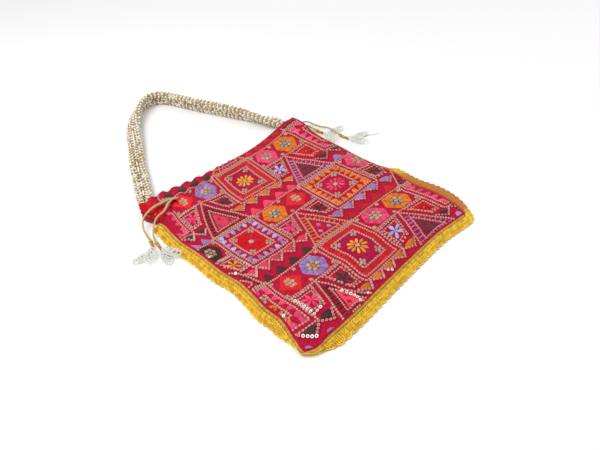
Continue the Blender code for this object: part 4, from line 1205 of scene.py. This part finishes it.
def build_lace():
    # The last colour given to a yarn is its painted shade on the lower right lace
    body = lace_yarn("lace_yarn", rgb(255, 222, 30), rgb(250, 196, 12), rgb(210, 132, 10))
    ground = lace_yarn("lace_ground", rgb(236, 172, 12), rgb(186, 116, 6), rgb(178, 96, 10))
    header = lace_yarn("lace_header", rgb(238, 188, 58), rgb(196, 140, 34), rgb(176, 104, 20))
    stitch = lace_yarn("lace_stitches", rgb(138, 98, 30), rgb(92, 62, 18))
    pieces = []
    step = SCALLOP_PITCH / 8
    distances = np.arange(0, LACE_LENGTH + step / 2, step)
    reach = LACE_RIM - 0.0008 - NOTCH * (1 - np.abs(np.sin(pi * distances / SCALLOP_PITCH)))
    shares = (0.0, 0.12, 0.26, 0.34, 0.5, 0.66, 0.82, 0.97)
    heap = Heap()
    outs = np.stack([reach * share for share in shares], -1)
    top = lace_place(distances[:, None], outs, 0.0)
    low = lace_place(distances[:, None], outs, -0.0005)
    n, m = outs.shape
    ring = np.concatenate([top, low[:, ::-1]], 1)
    # Tone carries the painted shade of the lower right lace
    tones = np.repeat(lace_painted_shade(distances), 2 * m)
    uvs = np.stack([np.repeat(distances, 2 * m), np.concatenate([outs, outs[:, ::-1]], 1).ravel()], -1)
    faces = grid_faces(n, 2 * m, closed_columns=True)
    faces.append(tuple(range(2 * m)))
    faces.append(tuple(range((n - 1) * 2 * m, n * 2 * m))[::-1])
    heap.add(ring.reshape(-1, 3), faces, uvs, tones)
    pieces.append(heap.build("lace_ground", [ground], sharp=50))
    heap = Heap()
    start = LACE_INSET + LACE_HEADER + 0.0002
    for k in range(int(round(LACE_LENGTH / SCALLOP_PITCH))):
        left = k * SCALLOP_PITCH
        # Painted shade of this scallop, on the lower right lace
        painted_shade = float(lace_painted_shade(left))
        for j in range(SPOKES):
            u = (j + 0.5) / SPOKES
            foot, tip = (left + SCALLOP_PITCH * (0.5 + (u - 0.5) * spread) for spread in (0.86, 1.0))
            far = LACE_RIM - 0.0010 - NOTCH * (1 - sin(pi * u))
            route = lace_place(foot + (tip - foot) * SPOKE_SHARES,
                               start + (far - start) * SPOKE_SHARES, 0.0002)
            add_tube(heap, route, SPOKE_RADII, 5, tone=painted_shade)
        u = np.linspace(0, 1, 9)
        far = LACE_RIM - 0.0007 - NOTCH * (1 - np.sin(pi * u))
        add_tube(heap, lace_place(left + SCALLOP_PITCH * u, far, 0.0002), 0.0006, 5, tone=painted_shade)
    for out in (start + 0.0004, start + 0.0040):
        d = np.arange(0, LACE_LENGTH, 0.0016)
        wobble = np.where(np.arange(len(d)) % 2 == 0, 0.00035, -0.00035)
        add_tube(heap, lace_place(d, out + wobble, 0.0005), 0.0005, 5, tone=0.15 + 0.85 * lace_painted_shade(d))
    pieces.append(heap.build("lace_yarns", [body]))
    heap = Heap()
    for out in (0.0040, 0.0054):
        d = np.arange(0, LACE_LENGTH, 0.0012)
        thick = np.where(np.arange(len(d)) % 2 == 0, 0.0008, 0.0006)
        add_tube(heap, lace_place(d, np.full(len(d), out), 0.0002), thick, 6, tone=lace_painted_shade(d))
    pieces.append(heap.build("lace_heading", [header]))
    heap = Heap()
    for d in np.arange(0.001, LACE_LENGTH - 0.003, STITCH_PITCH):
        route = lace_place(np.linspace(d, d + STITCH_LENGTH, 4), LACE_INSET + 0.0025, 0.0006)
        add_tube(heap, route, 0.00032, 5)
    pieces.append(heap.build("lace_stitching", [stitch]))
    return [worn_as(pieces[0], "lace", "lace_trim"), *(worn_as(piece, "lace") for piece in pieces[1:])]


LACE = build_lace()


# ---------- routes of cords and ropes, as in the CAD source ----------

def smooth_route(points, spacing):
    points = [Vector(point) for point in points]
    ends = [2 * points[0] - points[1]] + points + [2 * points[-1] - points[-2]]
    route = []
    for a, b, c, d in zip(ends, ends[1:], ends[2:], ends[3:]):
        steps = max(round((c - b).length / spacing), 1)
        for step in range(steps):
            u = step / steps
            route.append(0.5 * (2 * b + (c - a) * u + (2 * a - 5 * b + 4 * c - d) * u ** 2
                                + (3 * b - a - 3 * c + d) * u ** 3))
    return route + [points[-1]]


def cloth_point(front, x, y, inward=0.0):
    x, y = np.float64(x), np.float64(y)
    px, py = cloth_xy(x, y)
    z = front_height(x, y) - inward if front else back_height(x, y) + inward
    return Vector((px, py, z))


def left_corner(x, y, z):
    return Vector((x - SIDE, y + END, z))


def right_corner(x, y, z):
    return Vector((x + SIDE, y + END, z))


def on_front(x, y, above):
    return cloth_point(True, x - SIDE, y + END, -above)


def tunnel_point(front, x, lane):
    return cloth_point(front, x, END - lane, CLOTH + TUNNEL / 2)


def world(points):
    return np.array([tuple(p) for p in points]) + SHIFT


OUTER_LANE, INNER_LANE = LANE_LEFT - LANE_TWIN / 2, LANE_LEFT + LANE_TWIN / 2
SLIT_X, TURN_X = SLIT_FROM_SIDE - SIDE, SIDE - CORD_TURN


def placed(point_of, *places):
    return [point_of(*place) for place in places]


# Visible ends of the drawstrings: route from the knot to inside the tunnel, heading of the knot and angles
# of the two leaves in degrees, and how much of the route the cloth hides
TAILS = {
    "left_outer": ([
        *placed(left_corner, (-0.0165, -0.0390, 0.0026), (-0.0150, -0.0310, 0.0026),
                (-0.0125, -0.0225, 0.0050), (-0.0065, -0.0155, 0.0105)),
        *placed(on_front, (0.006, -0.0170, 0.0030), (0.017, -0.0172, 0.0024), (0.026, -OUTER_LANE, 0.0016)),
        cloth_point(True, SLIT_X, END - OUTER_LANE, CLOTH / 2),
        *placed(tunnel_point, (True, SLIT_X + 0.007, OUTER_LANE), (True, SLIT_X + 0.024, OUTER_LANE))],
        -112, (-73, -23), 0.024),
    "left_inner": ([
        *placed(left_corner, (-0.0145, -0.0460, 0.0026), (-0.0115, -0.0380, 0.0034),
                (-0.0050, -0.0305, 0.0075), (0.0030, -0.0262, 0.0115)),
        *placed(on_front, (0.012, -0.0265, 0.0024), (0.022, -0.0220, 0.0024), (0.029, -INNER_LANE, 0.0021)),
        cloth_point(True, SLIT_X + 0.0018, END - INNER_LANE, CLOTH / 2),
        *placed(tunnel_point, (True, SLIT_X - 0.003, INNER_LANE), (True, SLIT_X - 0.014, INNER_LANE))],
        -100, (-5, 28), 0.016),
    "right_far": ([
        *placed(right_corner, (0.0236, -0.0550, 0.0026), (0.0234, -0.0475, 0.0049), (0.0232, -0.0370, 0.0049),
                (0.0228, -0.0270, 0.0024), (0.0205, -0.0170, 0.0030), (0.0150, -0.0100, 0.0066)),
        *placed(tunnel_point, (True, TURN_X, LANE_RIGHT), (True, TURN_X - 0.016, LANE_RIGHT))],
        -85, (77, 10), 0.018),
    "right_near": ([
        *placed(right_corner, (0.0138, -0.0265, 0.0026), (0.0138, -0.0205, 0.0029),
                (0.0130, -0.0140, 0.0036), (0.0070, -0.0092, 0.0040)),
        *placed(tunnel_point, (False, TURN_X, LANE_RIGHT), (False, TURN_X - 0.016, LANE_RIGHT))],
        -84, (80, -20), 0.018),
}

# Fine wire end that sticks out of the right far leaf
LOOSE_WIRE = ((0.1399, 0.0494, 0.0024), (0.1452, 0.0482, 0.0009), (0.1504, 0.046, 0.0005),
              (0.1557, 0.0432, 0.0005), (0.162, 0.0388, 0.0005))

# Middle of the handle, from each end of the mouth: place, how far one rope lies on the other, and how far
# it has risen to the mouth
HANDLE_LEFT = (
    (0.0090, -0.004, 0.0, 1.0), (0.0110, 0.008, 0.0, 1.0), (0.0185, 0.022, 0.0, 0.2),
    (0.0300, 0.044, 0.0, 0.0), (0.0475, 0.079, 0.0, 0.0), (0.0670, 0.112, 0.1, 0.0),
    (0.0870, 0.146, 0.3, 0.0), (0.1090, 0.172, 0.6, 0.0))
HANDLE_RIGHT = (
    (-0.0790, 0.184, 0.9, 0.0), (-0.0630, 0.176, 1.0, 0.0), (-0.0540, 0.154, 1.0, 0.0),
    (-0.0445, 0.122, 1.0, 0.0), (-0.0330, 0.090, 1.0, 0.0), (-0.0245, 0.063, 0.9, 0.0),
    (-0.0170, 0.040, 0.6, 0.0), (-0.0105, 0.023, 0.25, 0.3), (-0.0070, 0.006, 0.0, 1.0),
    (-0.0060, -0.006, 0.0, 1.0))


def handle_route(way):
    middle = [(corner(x, y, 0), roll, rise) for corner, places in
              ((left_corner, HANDLE_LEFT), (right_corner, HANDLE_RIGHT)) for x, y, roll, rise in places]
    route, last = [], len(middle) - 1
    for index, (place, roll, rise) in enumerate(middle):
        ahead = middle[min(index + 1, last)][0] - middle[max(index - 1, 0)][0]
        sideways = Vector((-ahead.y, ahead.x, 0)).normalized()
        apart = (ROPE + (ROPE_END - ROPE) * float(smooth(0.5, 1, rise))) / 2 + CLEARANCE
        tilt = radians(80) * roll
        place = place + sideways * way * apart * cos(tilt)
        ground = ROPE / 2 + CLEARANCE
        place.z = ground + (GAP_MIDDLE - ground) * rise + apart * sin(tilt) * (1 - way)
        route.append(place)
    return world(smooth_route(route, ROPE / 4))


# ---------- bead ropes ----------

BEAD = 0.0029
BEADS_AROUND = 6
JOIN_BEAD, JOIN_RISE = 0.0025, 0.0024
pearl = bead_material("pearl_bead", rgb(250, 246, 232), rgb(238, 228, 204), 0.2, 0.0, 0.5)
gold = bead_material("gold_bead", rgb(192, 160, 112), rgb(132, 100, 62), 0.3, 0.35, 0.3)
smoke = bead_material("smoke_bead", rgb(200, 198, 176), rgb(150, 142, 112), 0.18, 0.2, 0.4)
core_thread = plain_weave("core_thread", rgb(206, 190, 150), 0.0006)


def build_rope(name, way, seed, extra):
    """Crocheted tube of seed beads in a slow spiral, over a thread core."""
    dice = random.Random(seed)
    route = handle_route(way)
    line = spaced(route, BEAD * 0.97)
    _, across, up = frames_along(line)
    lengths = lengths_of(line)
    ball_points, ball_faces = ball(8, 5)
    heap = Heap()
    for k, centre in enumerate(line):
        from_end = min(lengths[k], lengths[-1] - lengths[k])
        thick = ROPE_END + (ROPE - ROPE_END) * float(smooth(ROPE_TUCK, ROPE_TUCK + ROPE_TAPER, from_end))
        size = BEAD * (0.78 + 0.22 * (thick - ROPE_END) / (ROPE - ROPE_END))
        ring = thick / 2 - size / 2 + 0.0001
        for j in range(BEADS_AROUND):
            turn = 2 * pi * (j + 0.5 * (k % 2)) / BEADS_AROUND + 0.05 * k
            at = centre + across[k] * ring * cos(turn) + up[k] * ring * sin(turn)
            at = at + scattered(dice, 0.00012)
            draw = dice.random()
            if k % 2:
                kind = 0 if draw < 0.85 else 2
            else:
                kind = 1 if draw < 0.72 else (2 if draw < 0.9 else 0)
            heap.add(at + ball_points * size / 2, ball_faces, None, dice.random(), kind)
    rope = worn_as(heap.build(name, [pearl, gold, smoke]), "bead_rope",
                   "handle_rope_outer" if way > 0 else "handle_rope_inner")
    heap = Heap()
    from_end = np.minimum(lengths, lengths[-1] - lengths)[1:-1]
    add_tube(heap, line[1:-1], 0.0012 + 0.0018 * smooth(ROPE_TUCK, ROPE_TUCK + ROPE_TAPER, from_end), 8)
    thread = worn_as(heap.build(name + "_core", [core_thread]), "bead_rope")


def build_joining(seed):
    """Rows of small beads that sew the two ropes together, sunk into the groove between them."""
    dice = random.Random(seed)
    count = 2 * int(lengths_of(handle_route(1))[-1] / (2 * JOIN_BEAD))
    share = np.linspace(0, 1, count)
    first, second = (np.stack([np.interp(share, lengths_of(route) / lengths_of(route)[-1], route[:, k])
                               for k in range(3)], -1) for route in (handle_route(1), handle_route(-1)))
    middle, between = (first + second) / 2, second - first
    outward = np.cross(np.gradient(middle, axis=0), between)
    outward /= np.linalg.norm(outward, axis=1, keepdims=True)
    lengths = lengths_of(middle)
    ball_points, ball_faces = ball(8, 5)
    heap = Heap()
    for k, centre in enumerate(middle):
        if min(lengths[k], lengths[-1] - lengths[k]) < ROPE_TUCK + ROPE_TAPER:
            continue
        for way in (-1, 1):
            at = centre + outward[k] * way * JOIN_RISE
            at = at + scattered(dice, 0.0001)
            heap.add(at + ball_points * JOIN_BEAD / 2, ball_faces, None, dice.random(),
                     1 if dice.random() < 0.35 else 0)
    return worn_as(heap.build("beads_joining", [pearl, gold]), "bead_rope")


build_rope("beads_outer", 1, 21, [build_joining(23)])
build_rope("beads_inner", -1, 22, [])


# ---------- drawstrings and what is on their ends ----------

gold_cord = laid_cord("gold_cord", rgb(206, 176, 118), rgb(128, 100, 52), 0.35)
knot_wire = laid_cord("knot_wire", rgb(206, 190, 84), rgb(120, 96, 34), 0.6, 0.0007)
copper = bead_material("copper_tube", rgb(196, 138, 84), rgb(150, 92, 50), 0.3, 0.85)
wire = bead_material("bead_wire", rgb(214, 196, 176), rgb(190, 160, 140), 0.3, 0.6)
clear = clear_bead("clear_bead", rgb(250, 254, 248))


TUBE_PROFILE = ((-0.5, 0.55), (-0.5, 0.92), (-0.46, 1.0), (-0.38, 0.98), (-0.34, 0.86), (0.30, 0.80),
                (0.36, 0.94), (0.44, 1.0), (0.5, 0.95), (0.5, 0.55))


def settled(line, front=True):
    """Line inside a tunnel that follows the slack of the cloth over it."""
    x, y = line[:, 0] - SHIFT[0], line[:, 1] - SHIFT[1]
    sink = 0.7 * front_relief(x, y) if front else np.full(len(line), BACK_RAISED / 2)
    return line + np.stack([np.zeros(len(line)), np.zeros(len(line)), sink], -1)


def build_tail(prefix, points, node, hidden):
    route = world(smooth_route(points, 0.0012))
    line = spaced(route, 0.0008)
    lengths = lengths_of(line)
    inside = lengths > lengths[-1] - hidden
    if "near" not in prefix:
        line = np.where(inside[:, None], settled(line), line)
    heap = Heap()
    thick = np.full(len(line), CORD / 2)
    if prefix.startswith("left"):
        share = lengths / (lengths[-1] - hidden)
        thick *= 1.0 + 0.6 * smooth(0.35, 0.72, share) * (1 - smooth(0.94, 1.04, share))
    add_tube(heap, line, thick, 12, ridges=3, ridge_depth=0.13, twist=2 * pi / 0.0045)
    return worn_as(heap.build(prefix + "_tail", [gold_cord]), "gold_cord", node), line


def build_end(prefix, tip, heading_degrees, spreads, dice):
    """Wrapped knot, tube bead and two bead leaves beyond a tail's tip."""
    heading = Vector((*around(0, 0, 1, radians(heading_degrees)), 0))
    sideways, upward, shift = Vector((-heading.y, heading.x, 0)), Vector((0, 0, 1)), Vector(SHIFT)
    centre = tip + heading * (CLEARANCE + KNOT / 2)
    centre.z = KNOT / 2 + CLEARANCE
    heap = Heap()
    for wrap in range(4):
        at = centre + shift + heading * (wrap - 1.5) * 0.0008
        lean = 0.35 * sin(wrap * 1.9)
        size = 0.00145 * (1 - 0.10 * abs(wrap - 1.5))
        ring = [at + sideways * size * cos(turn) + upward * size * sin(turn)
                + heading * lean * 0.0008 * cos(turn) for turn in turns_of(18)]
        add_tube(heap, ring, 0.00052, 8, closed=True, tone=dice.random())
    pieces = [worn_as(heap.build(prefix + "_wraps", [knot_wire]), "brass_cord", prefix + "_knot")]
    bead = centre + heading * (KNOT / 2 + CLEARANCE + TUBE_LENGTH / 2)
    bead.z = TUBE_BEAD / 2 + CLEARANCE
    heap = Heap()
    points = [bead + shift + heading * TUBE_LENGTH * place
              + (sideways * cos(turn) + upward * sin(turn)) * (TUBE_BEAD / 2 * radius)
              for place, radius in TUBE_PROFILE for turn in turns_of(16)]
    faces = grid_faces(len(TUBE_PROFILE), 16, closed_columns=True, closed_rows=True)
    heap.add(points, faces, None, dice.random())
    pieces.append(worn_as(heap.build(prefix + "_tube", [copper], sharp=50), "copper", prefix + "_tube_bead"))
    root_of_petals = bead + heading * (TUBE_LENGTH / 2 + CLEARANCE)
    ball_points, ball_faces = ball(8, 6)
    wires, leaves = Heap(), []
    for level, spread in enumerate(spreads):
        turned = radians(spread)
        way = heading * cos(turned) + sideways * sin(turned)
        across = Vector((-way.y, way.x, 0))
        clear_of = heading * (PETAL_CLEAR * sin(turned) ** 2 - level * PETAL_LEAN)
        base_z = PETAL_WIRE / 2 + CLEARANCE + level * (PETAL_WIRE + CLEARANCE)
        heap = Heap()
        for share, size, lift in ((1.0, PETAL_WIRE * 0.5, 0.0), (0.60, PETAL_WIRE * 0.48, 0.0002),
                                  (0.22, PETAL_WIRE * 0.46, 0.0003)):
            loop = []
            for angle in turns_of(48):
                out = PETAL_LENGTH / 2 * (1 - cos(angle) * share)
                width = PETAL_WIDTH / 2 * sin(angle) * (0.9 - 0.1 * cos(angle)) * share
                place = root_of_petals + clear_of + way * (PETAL_WIRE / 2 + out) + across * width + shift
                place.z = base_z + lift
                loop.append(place)
            closed = np.array([tuple(p) for p in loop + loop[:1]])
            add_tube(wires, closed[:-1], 0.0002, 5, closed=True, tone=dice.random())
            for at in spaced(closed, size * 2.06)[:-1]:
                stretch = np.array([dice.uniform(0.92, 1.05) for _ in range(3)])
                stray = 0.0007 if share < 1 else 0.00015
                at = at + np.array((dice.uniform(-stray, stray), dice.uniform(-stray, stray),
                                    dice.uniform(-0.0001, 0.0003)))
                heap.add(at + ball_points * size * stretch, ball_faces, None, dice.random())
        leaves.append(worn_as(heap.build(prefix + "_leaf_" + "ab"[level], [clear]), "clear_beads",
                              prefix + "_petal_" + "ab"[level]))
    if prefix == "right_far":
        add_tube(wires, spaced(world(smooth_route(LOOSE_WIRE, 0.002)), 0.002), 0.0003, 5)
    return pieces + leaves + [worn_as(wires.build(prefix + "_wires", [wire]), "clear_beads")]


def corner_turn(side, lane, downward):
    """Half circle that takes a cord round the mouth's corner from one tunnel to the other."""
    upper, lower = (tunnel_point(front, side * (SIDE - CORD_TURN), lane) for front in (True, False))
    middle, radius = (upper + lower) / 2, (upper.z - lower.z) / 2
    turn = []
    for step in range(1, 6):
        angle = pi * step / 6
        height = cos(angle) if downward else -cos(angle)
        turn.append(middle + Vector((side * radius * 0.85 * sin(angle), 0, radius * height)))
    return turn


def build_inner_run(name, stretches):
    """What of a drawstring lies hidden in the tunnels, between its two visible ends."""
    heap = Heap()
    for front, points in stretches:
        line = spaced(world(smooth_route(points, 0.003)), 0.003)
        add_tube(heap, line if front is None else settled(line, front), 0.0008, 6)
    worn_as(heap.build(name, [gold_cord]), "gold_cord")


def tunnel_run(front, start, end, lane):
    return [tunnel_point(front, start + (end - start) * i / 16, lane) for i in range(17)]


build_inner_run("left_string_inside", [
    (True, tunnel_run(True, SLIT_X + 0.024, TURN_X, OUTER_LANE)),
    (None, [tunnel_point(True, TURN_X, OUTER_LANE), *corner_turn(1, OUTER_LANE, True),
            tunnel_point(False, TURN_X, OUTER_LANE)]),
    (False, tunnel_run(False, TURN_X, -TURN_X, OUTER_LANE)),
    (None, [tunnel_point(False, -TURN_X, OUTER_LANE), *corner_turn(-1, INNER_LANE, False),
            tunnel_point(True, -TURN_X, INNER_LANE)]),
    (True, tunnel_run(True, -TURN_X, SLIT_X - 0.014, INNER_LANE))])
build_inner_run("right_string_inside", [
    (True, tunnel_run(True, TURN_X - 0.016, -TURN_X, LANE_RIGHT)),
    (None, [tunnel_point(True, -TURN_X, LANE_RIGHT), *corner_turn(-1, LANE_RIGHT, True),
            tunnel_point(False, -TURN_X, LANE_RIGHT)]),
    (False, tunnel_run(False, -TURN_X, TURN_X - 0.016, LANE_RIGHT))])

for number, (prefix, (points, heading, spreads, hidden)) in enumerate(TAILS.items()):
    node = "drawstring_" + prefix.split("_")[0]
    tail, line = build_tail(prefix, points, node, hidden)
    ends = build_end(prefix, points[0], heading, spreads, random.Random(31 + number))
    tuple(line[-1])
    float(lengths_of(line)[-1])
    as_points(line)

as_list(front_pieces)
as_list(back_pieces)
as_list(LACE[1:])


# ---------- floor, light and camera ----------

def put(name, data):
    thing = bpy.data.objects.new(name, data)
    bpy.context.scene.collection.objects.link(thing)
    return thing


def pale_stage(half=3.0):
    mesh = bpy.data.meshes.new("floor")
    corners = [(x * half, y * half, 0) for x, y in ((-1, -1), (1, -1), (1, 1), (-1, 1))]
    mesh.from_pydata(corners, [], [(0, 1, 2, 3)])
    mesh.materials.append(Look("pale_floor", 0.9, sockets={"Base Color": grey(0.93)}).material)
    put("floor", mesh)


def soft_light(name, place, power, size):
    light = bpy.data.lights.new(name, "AREA")
    light.energy, light.size = power, size
    lamp = put(name, light)
    lamp.location = place
    lamp.rotation_mode = "QUATERNION"
    lamp.rotation_quaternion = (-Vector(place)).to_track_quat("-Z", "Y")


def white_world():
    studio = bpy.data.worlds.new("studio")
    bpy.context.scene.world = studio
    studio.use_nodes = True
    tree = studio.node_tree
    background = tree.nodes["Background"]
    rays = tree.nodes.new("ShaderNodeLightPath").outputs
    other = add_node(tree, "Math", 0, {0: rays["Is Glossy Ray"], 1: rays["Is Transmission Ray"]},
                     operation="MAXIMUM")
    seen = add_node(tree, "Math", 0, {0: rays["Is Camera Ray"], 1: other}, operation="MAXIMUM")
    strength = add_node(tree, "MapRange", "Result", {"Value": seen, "To Min": 0.62, "To Max": 1.0})
    feed(tree, background.inputs["Strength"], strength)
    background.inputs["Color"].default_value = (1, 1, 1, 1)


pale_stage()
white_world()
soft_light("key", (-0.5, 0.3, 0.9), 7.0, 0.7)
soft_light("fill", (0.7, -0.5, 0.8), 3.0, 0.9)

EYE = Vector((-0.34416, -0.41661, 0.44248)) + Vector(SHIFT)
right = Vector((0.71869, -0.68913, -0.09262)).normalized()
forward = Vector((0.48607, 0.59317, -0.64179))
forward = (forward - right * forward.dot(right)).normalized()
camera = put("camera", bpy.data.cameras.new("camera"))
camera.data.lens, camera.data.sensor_width, camera.data.clip_start = 42.0, 36.0, 0.02
turned = Matrix((right, right.cross(forward), -forward)).transposed()
camera.matrix_world = Matrix.Translation(EYE) @ turned.to_4x4()
bpy.context.scene.camera = camera
bpy.context.scene.view_settings.view_transform = "Standard"
